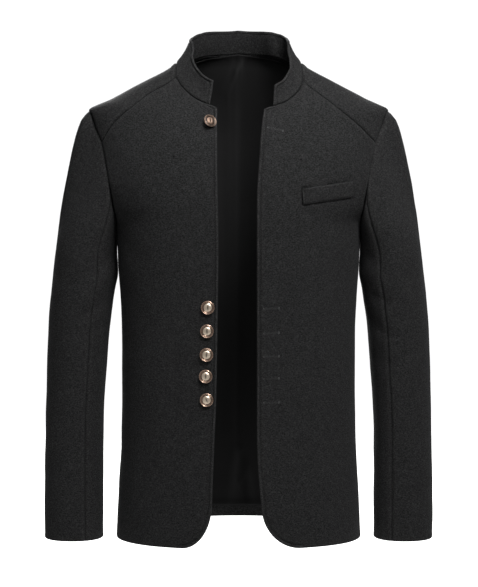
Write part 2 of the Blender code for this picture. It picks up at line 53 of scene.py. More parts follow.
bl_info = {
    "name": "Mao jacket",
    "version": (1, 0, 0),
    "blender": (4, 5, 0),
    "location": "View3D > Sidebar > Jacket",
    "description": "Makes the cloth, sewing, buttons and stage of a felted wool mao jacket",
    "category": "Object",
}

MM = 0.001

# Cloth
WALL = 2.2
COLLAR_WALL = 3.0
LINING_WALL = 1.0
LINING_GAP = 0.9
LINING_TURN_IN = 1.8
SEAM_GAP = 0.12

# How far the first rows of a piece lie from its outline, so that its rim can be rounded.
RIM = np.array((0, 0.12, 0.35, 0.7, 1.1, 1.7, 2.4, 3.1, 3.8, 4.5, 5.2, 6.0, 7.2, 9.0, 11.5))
CLOTH_STEP = 3.2
BACK_STEP = 4.1

FRONT, BACK = -1, 1
SIDES = {"right": -1, "left": 1}

UNDERARM = -245
HEM = -712.5
HEM_BACK_LIFT = 6.5
LINING_FOOT = -690
FOLD_POWER = 2.5
DENSE = 900
SEAM_POINTS = 160

# A ring of the trunk at each level. square is 2 for an ellipse and more for a boxier ring.
Level = namedtuple("Level", "height half front back square")
BODY = (
    Level(22, 2, 16, 58, 2.2),
    Level(15, 50, 19, 62, 2.25),
    Level(9, 67, 21, 63, 2.3),
    Level(4, 80, 24, 64, 2.3),
    Level(-3.5, 93, 27, 66, 2.35),
    Level(-13, 105, 31.5, 69.5, 2.4),
    Level(-30.5, 138, 40, 77, 2.45),
    Level(-57.5, 189, 58, 89.5, 2.45),
    Level(-77.5, 225, 71, 97.5, 2.45),
    Level(-100, 219.5, 84, 105, 2.45),
    Level(-123, 216, 95, 110, 2.45),
    Level(-150, 215, 104, 114, 2.45),
    Level(-179, 213, 111, 117, 2.45),
    Level(-217, 199, 117, 118, 2.45),
    Level(UNDERARM, 182.3, 119, 117, 2.45),
    Level(-300, 180.3, 120, 112, 2.4),
    Level(-348, 177, 119, 107, 2.4),
    Level(-403, 174.5, 119, 104, 2.35),
    Level(-469, 174.5, 120, 106, 2.35),
    Level(-568, 176, 122, 115, 2.35),
    Level(-650, 180.5, 125, 125, 2.35),
    Level(HEM, 183.5, 127, 130, 2.35),
)

# Where a seam passes: distance from the centre line and height.
Mark = namedtuple("Mark", "across height")
SHOULDER_POINT = Mark(225, -77.5)
YOKE_END = Mark(202, -124)
NECK_POINT = Mark(93, -3.5)
NECK_BACK = (Mark(80, 0), Mark(50, 10), Mark(0, 14.5))
NECK_FRONT = {
    "right": (Mark(93, -27), Mark(84, -41), Mark(71, -54), Mark(54, -65), Mark(42.3, -69.5)),
    "left": (Mark(95, -32), Mark(92, -43), Mark(84, -53), Mark(71, -64), Mark(50.5, -72)),
}
YOKE = {
    "right": (Mark(125, -48), Mark(151, -68), Mark(183, -96)),
    "left": (Mark(119, -53), Mark(150, -78), Mark(182, -105)),
}
FRONT_EDGE = {
    "right": (Mark(31.2, -74.6), Mark(30.9, -153), Mark(29.2, -281), Mark(29.7, -338),
              Mark(32.2, -496), Mark(34.7, -553), Mark(38.4, -648)),
    "left": (Mark(37.1, -76.4), Mark(33.4, -105), Mark(29.6, -153), Mark(26.6, -212),
             Mark(26.5, -300), Mark(26.5, -553), Mark(28.9, -604), Mark(33, -650)),
}
HEM_CORNER_WIDTH = {"right": 44, "left": 58}
ARMHOLE_FRONT = (Mark(196.5, -150), Mark(191, -179), Mark(184.5, -217), Mark(182, -236))
ARMHOLE_SHOULDER = (Mark(212, -100),)

# The back of the armhole: how far it lies behind the shoulder point at each height.
Notch = namedtuple("Notch", "behind height")
ARMHOLE_BACK = (Notch(35, -97), Notch(52, -123), Notch(62, -150), Notch(68, -179),
                Notch(64, -210), Notch(45, -234))

# A ring of a sleeve at each level: its outer and inner side, half its depth, and how far
# forward its middle lies.
Ring = namedtuple("Ring", "height outer inner deep ahead")
SLEEVE = (
    Ring(-77.5, 226, 205, 40, 0),
    Ring(-91, 237, 203, 50, 0),
    Ring(-125, 248, 198, 58, -1),
    Ring(-177, 259, 189, 64, -2),
    Ring(-228, 268, 184, 66, -3),
    Ring(UNDERARM, 270, 182.9, 66.5, -3),
    Ring(-286, 275, 182.2, 66.5, -4),
    Ring(-315, 278, 181, 65, -4),
    Ring(-345, 281, 186, 63, -3),
    Ring(-403, 285.4, 194, 58.5, -1),
    Ring(-460, 287.5, 198, 54.5, 2),
    Ring(-520, 289, 202, 52, 5),
    Ring(-590, 290, 203, 49.5, 9),
    Ring(-667, 291, 203, 47, 13),
    Ring(-713, 290.5, 203, 46, 15),
)
SLEEVE_SQUARE = 2.15
SLEEVE_HEAD = 180
CAP_FOOT = -300
# Where the sleeve's two seams start, as angles round it: 90 is its front.
FRONT_SEAM_ANGLE = 125
BACK_SEAM_ANGLE = -105
ARMHOLE_NOTCHES = (6, 12)

# How the collar rises from the neck seam, from the centre back to its end. share is how far
# round from the centre back to that end.
Rise = namedtuple("Rise", "share inward forward up")
COLLAR = {
    "right": (Rise(0, 0, 6, 34.8), Rise(0.22, 7, 5.2, 36), Rise(0.3, 10.5, 4.5, 38.7),
              Rise(0.35, 13, 4, 39.7), Rise(0.41, 16, 3, 37.5), Rise(0.49, 20, 2, 34),
              Rise(0.62, 26, -2, 31), Rise(0.72, 22, -5, 32), Rise(0.82, 16, -7, 34),
              Rise(0.92, 9, -8, 35.5), Rise(1, 5.5, -8, 35)),
    "left": (Rise(0, 0, 6, 34.8), Rise(0.22, 7, 5.2, 36), Rise(0.3, 10, 4.5, 38.7),
             Rise(0.35, 12, 4, 39.7), Rise(0.41, 14.5, 3, 37.5), Rise(0.49, 18, 2, 34),
             Rise(0.62, 20, -2, 31), Rise(0.72, 17, -5, 32), Rise(0.82, 11, -8, 32),
             Rise(0.92, 4, -9, 31.5), Rise(1, -2.5, -10, 31)),
}
COLLAR_HOLLOW = 1.5

# The chest welt: its corners, and how far it stands off the panel.
WELT_CORNERS = ((Mark(91.5, -194), Mark(166, -182)), (Mark(92.5, -216.5), Mark(167.5, -205)))
WELT_GAP = 0.25
WELT_WALL = 2.2

# The lining's folds, as lines down the back: where each starts and ends, how wide it is and
# how far it stands in.
Pleat = namedtuple("Pleat", "top foot start end width rise")
PLEATS = (
    Pleat(3, -44, 4, -15, 2.3, 2.4),
    Pleat(3, -38, 5.5, 7, 2.0, 1.8),
    Pleat(2, -30, -9, -22, 3.0, 1.2),
    Pleat(-6, -690, -2, -5, 4.2, 1.3),
    Pleat(-30, -600, -13, -10, 6.5, 0.7),
    Pleat(-50, -640, 42, 36, 16.0, 0.8),
    Pleat(-60, -600, -44, -52, 18.0, 0.7),
    Pleat(-600, -690, -2, -15, 6.5, 1.7),
    Pleat(-610, -690, 9, 13, 5.0, -1.1),
    Pleat(-630, -690, 17, 26, 6.0, 1.2),
    Pleat(-640, -662, 11, -1, 2.4, 1.2),
    Pleat(-650, -672, -4, 6, 2.2, 1.0),
)

BUTTONS = (Mark(-43, -97), Mark(-44, -364), Mark(-45.2, -398), Mark(-45.8, -432),
           Mark(-47, -463), Mark(-45.6, -497))

# Buttonholes of the left front: the eyelet's end and the bar's end.
Buttonhole = namedtuple("Buttonhole", "eyelet bar")
BUTTONHOLES = (
    Buttonhole(Mark(44, -104.5), Mark(64, -109)),
    Buttonhole(Mark(38, -365.5), Mark(58, -365)),
    Buttonhole(Mark(38, -401.5), Mark(58, -400.5)),
    Buttonhole(Mark(38, -435), Mark(58, -434.5)),
    Buttonhole(Mark(38, -467), Mark(58, -466)),
    Buttonhole(Mark(38, -501), Mark(58, -501)),
)

# Soft troughs (below 0) and ridges of the trunk's cloth.
Crease = namedtuple("Crease", "face start middle end width depth")
TRUNK_CREASES = (
    Crease(FRONT, Mark(176, -262), Mark(150, -300), Mark(118, -322), 17, -1.5),
    Crease(FRONT, Mark(-176, -258), Mark(-152, -290), Mark(-124, -305), 15, -1.3),
    Crease(FRONT, Mark(178, -300), Mark(158, -352), Mark(140, -388), 15, -1.0),
    Crease(FRONT, Mark(-178, -310), Mark(-160, -350), Mark(-138, -372), 14, -1.0),
    Crease(FRONT, Mark(120, -250), Mark(128, -420), Mark(132, -640), 34, 1.6),
    Crease(FRONT, Mark(-118, -260), Mark(-126, -420), Mark(-130, -650), 34, 1.5),
    Crease(FRONT, Mark(82, -430), Mark(86, -560), Mark(90, -706), 22, -1.2),
    Crease(FRONT, Mark(-88, -450), Mark(-90, -560), Mark(-96, -706), 22, -1.1),
    Crease(FRONT, Mark(190, -140), Mark(168, -172), Mark(160, -220), 13, -0.9),
    Crease(FRONT, Mark(-190, -140), Mark(-170, -176), Mark(-163, -226), 13, -1.0),
    Crease(BACK, Mark(170, -262), Mark(132, -300), Mark(86, -318), 17, -2.2),
    Crease(BACK, Mark(-172, -258), Mark(-128, -288), Mark(-92, -296), 16, -1.9),
    Crease(BACK, Mark(168, -330), Mark(130, -352), Mark(72, -360), 14, -1.6),
    Crease(BACK, Mark(-170, -338), Mark(-126, -366), Mark(-78, -380), 15, -1.8),
    Crease(BACK, Mark(60, -22), Mark(0, -38), Mark(-64, -20), 11, -1.3),
    Crease(BACK, Mark(46, -44), Mark(-6, -60), Mark(-40, -50), 12, 0.8),
    Crease(BACK, Mark(150, -150), Mark(140, -230), Mark(120, -300), 20, 1.5),
    Crease(BACK, Mark(-150, -144), Mark(-142, -236), Mark(-126, -306), 20, 1.6),
    Crease(BACK, Mark(64, -470), Mark(70, -590), Mark(82, -706), 24, -1.9),
    Crease(BACK, Mark(-58, -500), Mark(-72, -600), Mark(-78, -706), 24, -1.7),
    Crease(BACK, Mark(4, -420), Mark(2, -560), Mark(6, -706), 30, 1.5),
    Crease(BACK, Mark(132, -500), Mark(138, -600), Mark(142, -706), 18, 1.1),
    Crease(BACK, Mark(-130, -520), Mark(-134, -610), Mark(-140, -706), 18, 1.2),
)

# Soft troughs and ridges of a sleeve, by the angle round it (90 is its front) and height.
Bend = namedtuple("Bend", "angle height")
SLEEVE_CREASES = {
    "right": (
        Crease(0, Bend(150, -286), Bend(118, -312), Bend(84, -322), 10, -1.5),
        Crease(0, Bend(160, -345), Bend(125, -368), Bend(80, -384), 9, -1.7),
        Crease(0, Bend(155, -386), Bend(120, -402), Bend(88, -406), 8, -1.2),
        Crease(0, Bend(165, -420), Bend(130, -446), Bend(96, -456), 10, -1.1),
        Crease(0, Bend(58, -120), Bend(52, -260), Bend(50, -420), 22, 1.0),
        Crease(0, Bend(105, -470), Bend(100, -560), Bend(96, -690), 16, -1.0),
        Crease(0, Bend(-150, -300), Bend(-118, -318), Bend(-80, -322), 12, -1.6),
        Crease(0, Bend(-165, -360), Bend(-120, -392), Bend(-66, -402), 12, -1.9),
        Crease(0, Bend(-150, -440), Bend(-110, -458), Bend(-70, -460), 11, -1.3),
        Crease(0, Bend(-96, -150), Bend(-88, -210), Bend(-92, -290), 14, 1.2),
        Crease(0, Bend(-60, -480), Bend(-66, -560), Bend(-74, -700), 18, -1.1),
        Crease(0, Bend(8, -160), Bend(2, -230), Bend(6, -330), 20, -0.8),
    ),
    "left": (
        Crease(0, Bend(152, -280), Bend(124, -304), Bend(90, -318), 10, -1.4),
        Crease(0, Bend(158, -338), Bend(120, -356), Bend(78, -366), 9, -1.5),
        Crease(0, Bend(160, -378), Bend(124, -404), Bend(80, -416), 9, -1.8),
        Crease(0, Bend(158, -432), Bend(128, -448), Bend(98, -452), 9, -1.0),
        Crease(0, Bend(60, -130), Bend(54, -270), Bend(52, -440), 22, 1.1),
        Crease(0, Bend(100, -490), Bend(98, -580), Bend(92, -700), 16, -1.0),
        Crease(0, Bend(-154, -290), Bend(-110, -306), Bend(-76, -306), 12, -1.5),
        Crease(0, Bend(-160, -348), Bend(-116, -374), Bend(-72, -386), 12, -2.0),
        Crease(0, Bend(-156, -420), Bend(-118, -446), Bend(-60, -456), 11, -1.5),
        Crease(0, Bend(-90, -140), Bend(-84, -200), Bend(-90, -280), 14, 1.1),
        Crease(0, Bend(-56, -500), Bend(-60, -590), Bend(-70, -702), 18, -1.2),
        Crease(0, Bend(6, -180), Bend(10, -250), Bend(2, -350), 20, -0.9),
    ),
}

# The slight unevenness of the felt: waves by their direction, length and height.
Wave = namedtuple("Wave", "x y z length height")
WAVES = (
    Wave(1, 0.3, 0.4, 83, 0.16),
    Wave(-0.5, 0.2, 1, 67, 0.13),
    Wave(0.7, -0.6, 0.8, 49, 0.09),
    Wave(0.2, 0.9, -0.9, 38, 0.07),
    Wave(-0.9, -0.4, 0.5, 27, 0.045),
    Wave(0.4, -0.2, -1, 19, 0.03),
)

# The profile across a plain seam and across an edge that is turned and stitched: ridges and
# troughs by their distance from the edge.
Ripple = namedtuple("Ripple", "at width height")
PLAIN_SEAM = (Ripple(0, 1.7, -0.7), Ripple(6.5, 3.4, 0.3))
STITCHED_EDGE = (Ripple(1.9, 1.5, 0.7), Ripple(4.6, 1.0, -1.1), Ripple(7.2, 2.0, 0.25))
TURNED_HEM = (Ripple(3.0, 3.0, 0.3), Ripple(20, 3.0, -0.2))
WELT_MOUTH = (Ripple(0, 1.3, -1.5),)
WELT_FOOT = (Ripple(0, 1.1, -0.7),)
STITCH_LINE = 4.6
SEAM_DIP = 0.8
SEAM_DIP_WIDTH = 1.9

# The same for the tone, which paints light and shade into the colour: painted shade darkens a groove
# and a painted highlight makes a rolled edge paler.
# Painted shade in a seam's groove, and a faint painted highlight beside it.
SEAM_PAINTED_SHADE_AND_HIGHLIGHT = (Ripple(0, 1.2, -0.3), Ripple(4.0, 2.4, 0.07))
# Painted highlight on a rolled edge, and painted shade in its stitch groove.
EDGE_PAINTED_HIGHLIGHT_AND_SHADE = (Ripple(1.6, 1.7, 0.3), Ripple(4.6, 1.0, -0.26))
# Painted highlight on the fold of a hem or cuff.
HEM_PAINTED_HIGHLIGHT = (Ripple(0.8, 1.4, 0.12),)
# Painted highlight on a sleeve just below its head seam.
HEAD_PAINTED_HIGHLIGHT = (Ripple(8, 7, 0.12),)
# Painted shade in the pocket's mouth above the welt.
MOUTH_PAINTED_SHADE = (Ripple(0, 1.1, -0.48),)
# Painted shade along the seam under the welt.
WELT_FOOT_PAINTED_SHADE = (Ripple(0, 0.9, -0.3),)
NECK_SHADE = (Ripple(0, 11, -0.5),)
FOOT_SHADE = (Ripple(0, 200, -0.34),)
# Painted light on the lining's pleat ridges, and painted shade in its one sunken fold.
PLEAT_PAINTED_LIGHT_AND_SHADE = 0.2
# Painted light on the inner face of the back's hem band, which lies in shade.
BAND_PAINTED_LIGHT = (Ripple(9, 14, 0.4),)


# Curves and the form of the trunk

def smooth(knots, values, at):
    """Monotone cubic through the rows of a table, which never overshoots them."""
    knots = np.asarray(knots, float)
    values = np.asarray(values, float)
    step = np.diff(knots)
    rise = np.diff(values) / step
    slope = np.zeros_like(values)
    before, after = rise[:-1], rise[1:]
    steady = before * after > 0
    total = np.where(steady, before + after, 1)
    slope[1:-1] = np.where(steady, 2 * before * after / total, 0)
    slope[0], slope[-1] = rise[0], rise[-1]
    at = np.clip(np.asarray(at, float), knots[0], knots[-1])
    row = np.clip(np.searchsorted(knots, at, side="right") - 1, 0, len(step) - 1)
    t = (at - knots[row]) / step[row]
    start = values[row] * (1 + 2 * t) + slope[row] * step[row] * t
    end = values[row + 1] * (3 - 2 * t) - slope[row + 1] * step[row] * (1 - t)
    return start * (1 - t) ** 2 + end * t ** 2


def column(table, name, height):
    """A named column of a table of levels, at any height."""
    drops = [-row.height for row in table]
    return smooth(drops, [getattr(row, name) for row in table], -np.asarray(height, float))


RIDGE_HEIGHTS = np.linspace(BODY[0].height, SHOULDER_POINT.height, 800)
RIDGE_ACROSS = column(BODY, "half", RIDGE_HEIGHTS)


def ridge(across):
    """Height of the shoulder line above a point across the body."""
    return np.interp(np.abs(across), RIDGE_ACROSS, RIDGE_HEIGHTS)


def depth_at(across, height, back):
    """How far in front (below 0) or behind the trunk's wall lies."""
    reach = np.where(back, column(BODY, "back", height), -column(BODY, "front", height))
    square = column(BODY, "square", height)
    left = 1 - (np.abs(across) / column(BODY, "half", height)) ** square
    return reach * np.clip(left, 0, 1) ** (1 / square)


def to_chart(across, height, face):
    """Chart point of a place on the trunk: across, and a fold that is 0 on the shoulder ridge,
    below 0 on the front and above 0 on the back."""
    drop = np.clip(ridge(across) - height, 0, None)
    return np.stack(np.broadcast_arrays(across, face * drop ** (1 / FOLD_POWER)), -1)


def to_space(chart):
    """Points of the trunk's outer surface, in millimetres."""
    across, fold = chart[..., 0], chart[..., 1]
    height = ridge(across) - np.abs(fold) ** FOLD_POWER
    return np.stack([across, depth_at(across, height, fold > 0), height], -1)


def on_flank(surface, *columns):
    """The same grid, with these columns on the trunk's middle plane below the underarm, where
    the front and the back are sewn together."""
    for column_number in columns:
        edge = surface[:, column_number]
        edge[edge[:, 2] <= UNDERARM, 1] = 0
    return surface


def ring_value(points):
    """1 on the trunk's surface, less inside it and more outside it."""
    across, depth, height = np.moveaxis(points, -1, 0)
    square = column(BODY, "square", height)
    reach = np.where(depth > 0, column(BODY, "back", height), column(BODY, "front", height))
    return (np.abs(across) / column(BODY, "half", height)) ** square \
        + (np.abs(depth) / reach) ** square


def unit(vectors):
    """Vectors of length 1."""
    return vectors / np.linalg.norm(vectors, axis=-1, keepdims=True)


def outward(points):
    """Directions that point straight out of the trunk's surface."""
    steps = np.eye(3) * 0.05
    return unit(np.stack([ring_value(points + s) - ring_value(points - s) for s in steps], -1))


def lengths_of(points):
    """How far along a path each of its points lies."""
    steps = np.linalg.norm(np.diff(points, axis=0), axis=1)
    return np.concatenate([[0], np.cumsum(steps)])


def run_of(points):
    """How far along a path each of its points lies, as a share of the whole."""
    lengths = lengths_of(points)
    return lengths / lengths[-1]


def at_shares(path, run, shares):
    """Points of a path at these shares, where run is the share of each of its own points."""
    return np.stack([np.interp(shares, run, values) for values in path.T], -1)


def along(path, shares):
    """Chart points at these shares of a path's real length."""
    return at_shares(path, run_of(to_space(path)), shares)


def seam(*marks, dense=DENSE // 3):
    """Chart path of a seam through (side, mark, face) rows, with a smooth bend at each."""
    knots = np.array([to_chart(side * mark.across, mark.height, face)
                      for side, mark, face in marks])
    run = run_of(to_space(knots))
    at = np.linspace(0, 1, dense)
    return np.stack([smooth(run, knots[:, k], at) for k in (0, 1)], -1)


def joined(*pieces):
    """One path from pieces end to end, and how far along it the joins lie."""
    path = np.concatenate([pieces[0]] + [piece[1:] for piece in pieces[1:]])
    lengths = lengths_of(to_space(path))
    ends = np.cumsum([len(pieces[0])] + [len(piece) - 1 for piece in pieces[1:]]) - 1
    return path, lengths[-1], lengths[ends[:-1]]


def spaced(length, count, kinks=(), first=1.0, last=1.0):
    """Shares of a length: close together near both ends, even between, and one at each kink."""
    start, end = RIM * first, RIM * last
    middle = np.linspace(start[-1], length - end[-1], count + 1)
    places = np.concatenate([start[:-1], middle, length - end[-2::-1]])
    for kink in kinks:
        places[np.argmin(np.abs(places - kink))] = kink
    return places / length


def steps_for(length, step=CLOTH_STEP):
    """How many even steps lie between the close rows at the two ends of a length."""
    return max(2, round((length - 2 * RIM[-1]) / step))


def panel(top, bottom, start, end):
    """Chart grid of a panel between a top and a bottom (path, shares) and its two sides."""
    across = np.linspace(0, 1, DENSE)
    (top_path, top_shares), (bottom_path, bottom_shares) = top, bottom
    high, low = along(top_path, across), along(bottom_path, across)
    drop = (end[:, 1] - end[0, 1]) / (end[-1, 1] - end[0, 1])
    rows = []
    for share, first, last in zip(drop, start, end):
        row = (1 - share) * high + share * low
        row = row + np.outer(1 - across, first - row[0]) + np.outer(across, last - row[-1])
        rows.append(along(row, (1 - share) * top_shares + share * bottom_shares))
    return np.array(rows)


# Seams of the trunk

def yoke_seam(name):
    """From the neck to the armhole, in front of the shoulder."""
    side = SIDES[name]
    marks = (NECK_FRONT[name][0],) + YOKE[name] + (YOKE_END,)
    return seam(*[(side, mark, FRONT) for mark in marks])


def back_neck_seam():
    """From the right yoke seam round the back of the neck to the left one."""
    right = [(-1, NECK_FRONT["right"][0], FRONT), (-1, NECK_POINT, BACK)]
    right += [(-1, mark, BACK) for mark in NECK_BACK[:-1]]
    left = [(1, mark, BACK) for mark in reversed(NECK_BACK[:-1])]
    left += [(1, NECK_POINT, BACK), (1, NECK_FRONT["left"][0], FRONT)]
    return seam(*right, (1, NECK_BACK[-1], BACK), *left)


def front_neck_seam(name):
    """From the collar's end to the yoke seam."""
    return seam(*[(SIDES[name], mark, FRONT) for mark in reversed(NECK_FRONT[name])])


def front_edge(name):
    """From the top corner of a front to the middle of its rounded hem corner, and on to the
    hem, as two paths."""
    side = SIDES[name]
    marks = FRONT_EDGE[name]
    straight = seam(*[(side, mark, FRONT) for mark in marks])
    width, height = HEM_CORNER_WIDTH[name], marks[-1].height - HEM
    paths = []
    for low, high in ((0, math.pi / 4), (math.pi / 4, math.pi / 2)):
        turn = np.linspace(low, high, DENSE // 8)
        across = marks[-1].across + width * (1 - np.cos(turn))
        paths.append(to_chart(side * across, marks[-1].height - height * np.sin(turn), FRONT))
    return np.concatenate([straight, paths[0][1:]]), paths[1]


def hem_line(first, last, face):
    """Along the hem between two turns round the body, where -90 and 90 are its sides."""
    turn = np.radians(np.linspace(first, last, DENSE))
    half, square = BODY[-1].half, BODY[-1].square
    across = half * np.sign(turn) * np.abs(np.sin(turn)) ** (2 / square)
    lift = HEM_BACK_LIFT * np.cos(turn) ** 2 if face == BACK else 0
    return to_chart(across, HEM + lift, face)


def side_seam(side, face):
    """Chart path of the side seam, from the underarm to the hem."""
    heights = np.linspace(UNDERARM, HEM, SEAM_POINTS)
    return to_chart(side * column(BODY, "half", heights), heights, face)


def armhole_front(side):
    """From the yoke seam down the front of the armhole to the underarm."""
    underarm = Mark(float(column(BODY, "half", UNDERARM)), UNDERARM)
    marks = (YOKE_END,) + ARMHOLE_FRONT + (underarm,)
    return seam(*[(side, mark, FRONT) for mark in marks])


def armhole_back(side):
    """From the yoke seam over the shoulder point and down the back to the underarm."""
    rows = [(side, YOKE_END, FRONT)] + [(side, mark, FRONT) for mark in ARMHOLE_SHOULDER]
    rows.append((side, SHOULDER_POINT, BACK))
    for notch in ARMHOLE_BACK:
        level = [float(column(BODY, name, notch.height)) for name in ("half", "back", "square")]
        half, back, square = level
        across = half * (1 - (notch.behind / back) ** square) ** (1 / square)
        rows.append((side, Mark(across, notch.height), BACK))
    rows.append((side, Mark(float(column(BODY, "half", UNDERARM)), UNDERARM), BACK))
    return seam(*rows)


# Distances, creases and seams on a piece's surface

def distance_to(grid, line):
    """How far each point of a grid lies from a line, and how far along it, as a share."""
    start, step = line[:-1], np.diff(line, axis=0)
    size = np.maximum(np.sum(step ** 2, -1), 1e-12)
    run = lengths_of(line)
    far, share = np.empty(grid.shape[:2]), np.empty(grid.shape[:2])
    for k, row in enumerate(grid):
        offset = row[:, None] - start
        t = np.clip(np.sum(offset * step, -1) / size, 0, 1)
        gap = np.sum((offset - t[..., None] * step) ** 2, -1)
        best = np.argmin(gap, 1)
        pick = np.arange(len(row)), best
        far[k] = np.sqrt(gap[pick])
        share[k] = (run[best] + t[pick] * (run[best + 1] - run[best])) / run[-1]
    return far, share


def thinned(path, count=SEAM_POINTS):
    """The same line through fewer points."""
    return at_shares(path, run_of(path), np.linspace(0, 1, count))


def seam_dip(far):
    """How far a seam pulls both faces of the cloth in."""
    return SEAM_DIP * np.exp(-(far / SEAM_DIP_WIDTH) ** 2)


def ripples(far, profile):
    """Height of a seam's ridges and troughs at these distances from it."""
    height = np.zeros_like(far)
    for ripple in profile:
        height += ripple.height * np.exp(-((far - ripple.at) / ripple.width) ** 2)
    return height


def waves(points):
    """The slight unevenness of the cloth."""
    height = np.zeros(points.shape[:-1])
    for number, wave in enumerate(WAVES):
        direction = unit(np.array((wave.x, wave.y, wave.z)))
        phase = 2 * math.pi * (points @ direction) / wave.length + 1.7 * number
        height += wave.height * np.sin(phase)
    return height


def crease_lines(creases, place):
    """Lines of the creases in space, through a function that places their three marks."""
    lines = []
    for crease in creases:
        marks = np.array([crease.start, crease.middle, crease.end], float)
        at = np.linspace(0, 1, 13)[:, None]
        bow = (1 - at) * (1 - 2 * at) * marks[0] + 4 * at * (1 - at) * marks[1] \
            + at * (2 * at - 1) * marks[2]
        lines.append(place(bow[:, 0], bow[:, 1], crease.face))
    return lines


def creased(points, creases, lines):
    """How far the creases move each point of a grid."""
    height = np.zeros(points.shape[:2])
    for crease, line in zip(creases, lines):
        reach = 2.6 * crease.width
        low, high = line.min(0) - reach, line.max(0) + reach
        near = np.all((points > low) & (points < high), -1)
        rows = np.flatnonzero(near.any(1))
        columns = np.flatnonzero(near.any(0))
        if not len(rows):
            continue
        part = np.ix_(rows, columns)
        far, share = distance_to(points[part], line)
        fade = np.sin(math.pi * np.clip(share, 0.02, 0.98)) ** 0.8
        height[part] += crease.depth * fade * np.exp(-(far / crease.width) ** 2)
    return height


def on_trunk(across, height, face):
    """Points of the trunk's surface, as seen from the front or the back."""
    return to_space(to_chart(across, height, face))


def trunk_lift(surface, face):
    """How far the waves and creases of the front or the back move its cloth."""
    creases = [crease for crease in TRUNK_CREASES if crease.face == face]
    return waves(surface) + creased(surface, creases, crease_lines(creases, on_trunk))


# Shells

def shell(name, surface, normals, outline, thick, lift, pinch, tone, finish, sewn=None,
          inner_tone=None):
    """A closed cloth wall under a surface, with a rounded rim. outline is how far each point
    lies from the piece's outline, lift moves both faces, and pinch shapes the outer one and
    half as much, the other way, the inner one. tone is painted light and shade in the cloth's
    colour: painted shade in grooves, painted highlights on rolled edges. sewn is the place of
    the first row where it is sewn to another piece. inner_tone is the painted light and shade
    of the inner face, where it differs."""
    rows, columns = surface.shape[:2]
    half = thick / 2
    outline = outline.copy()
    outline[[0, -1]] = 0
    outline[:, [0, -1]] = 0
    full = np.sqrt(1 - (1 - np.clip(outline / half, 0, 1)) ** 2)
    middle = surface + (lift - half)[..., None] * normals
    outer = middle + (full * (half + pinch))[..., None] * normals
    inner = middle - (full * (half + 0.5 * np.minimum(pinch, 0)))[..., None] * normals
    if sewn is not None:
        outer[0] = sewn
    size = rows * columns
    shown = np.arange(size).reshape(rows, columns)
    hidden = shown.copy()
    hidden[1:-1, 1:-1] = size + np.arange((rows - 2) * (columns - 2)).reshape(rows - 2, -1)
    points = np.concatenate([outer.reshape(-1, 3), inner[1:-1, 1:-1].reshape(-1, 3)]) * MM
    faces = []
    for index in (shown, hidden):
        corners = (index[:-1, :-1], index[:-1, 1:], index[1:, 1:], index[1:, :-1])
        faces.append(np.stack(corners, -1).reshape(-1, 4))
    across = outer[rows // 2, columns // 2 + 1] - outer[rows // 2, columns // 2]
    down = outer[rows // 2 + 1, columns // 2] - outer[rows // 2, columns // 2]
    out = np.dot(np.cross(across, down), normals[rows // 2, columns // 2])
    faces[1 if out > 0 else 0] = faces[1 if out > 0 else 0][:, ::-1]
    mesh = bpy.data.meshes.new(name)
    mesh.from_pydata(points.tolist(), [], np.concatenate(faces).tolist())
    mesh.shade_smooth()
    # The tone attribute carries painted shade and painted highlights into the materials.
    inside = tone if inner_tone is None else inner_tone
    tones = np.concatenate([tone.ravel(), inside[1:-1, 1:-1].ravel()]) + 0.5
    attribute = mesh.attributes.new("tone", "FLOAT", "POINT")
    attribute.data.foreach_set("value", np.clip(tones, 0, 1).astype(np.float32))
    return add_piece(name, mesh, finish)


def add_piece(name, data, *finishes):
    """An object in the scene with its mesh, light or camera, and a mesh's materials."""
    for finish in finishes:
        data.materials.append(finish)
    obj = bpy.data.objects.new(name, data)
    bpy.context.scene.collection.objects.link(obj)
    return obj


def dress(piece, slot, *nodes):
    """Makes a piece ride on the jacket and hides the solids it stands for; its finish's slot is not
    used.
    """
    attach(piece, BODY_NAME)
    if nodes:
        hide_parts(*nodes)


def grid_normals(grid, closed=False):
    """Directions out of a tube of points, whose rows and columns turn as a right-hand screw."""
    if closed:
        around = np.roll(grid, -1, 1) - np.roll(grid, 1, 1)
    else:
        around = np.gradient(grid, axis=1)
    return unit(np.cross(np.gradient(grid, axis=0), around))


# Shader effects

def fill(tree, made, inputs):
    """Sets a node's inputs to values or links."""
    for socket, value in inputs.items():
        if isinstance(value, bpy.types.NodeSocket):
            tree.links.new(value, made.inputs[socket])
        else:
            made.inputs[socket].default_value = value


def node(tree, kind, inputs=None, **settings):
    """A node with its settings, and its inputs' values or links."""
    made = tree.nodes.new(kind)
    for key, value in settings.items():
        setattr(made, key, value)
    fill(tree, made, inputs or {})
    return made


def effect(name, takes, gives):
    """A shader node group with its sockets, and its two end nodes."""
    tree = bpy.data.node_groups.new(name, "ShaderNodeTree")
    for label, kind, value in takes:
        socket = tree.interface.new_socket(label, in_out="INPUT", socket_type=kind)
        socket.default_value = value
    for label, kind in gives:
        tree.interface.new_socket(label, in_out="OUTPUT", socket_type=kind)
    return tree, tree.nodes.new("NodeGroupInput"), tree.nodes.new("NodeGroupOutput")


def maths(tree, operation, first, second=0.0):
    """The result of one sum."""
    made = node(tree, "ShaderNodeMath", {0: first, 1: second}, operation=operation)
    return made.outputs[0]


def spread(tree, value, low, high, start=0.0, end=1.0):
    """A value between start and end, carried over to between low and high."""
    made = node(tree, "ShaderNodeMapRange",
                {"Value": value, "From Min": start, "From Max": end, "To Min": low,
                 "To Max": high})
    return made.outputs[0]


def noise(tree, place, scale, detail, **inputs):
    """Cloudy noise at a place."""
    inputs = {"Vector": place, "Scale": scale, "Detail": detail, **inputs}
    return node(tree, "ShaderNodeTexNoise", inputs).outputs[0]


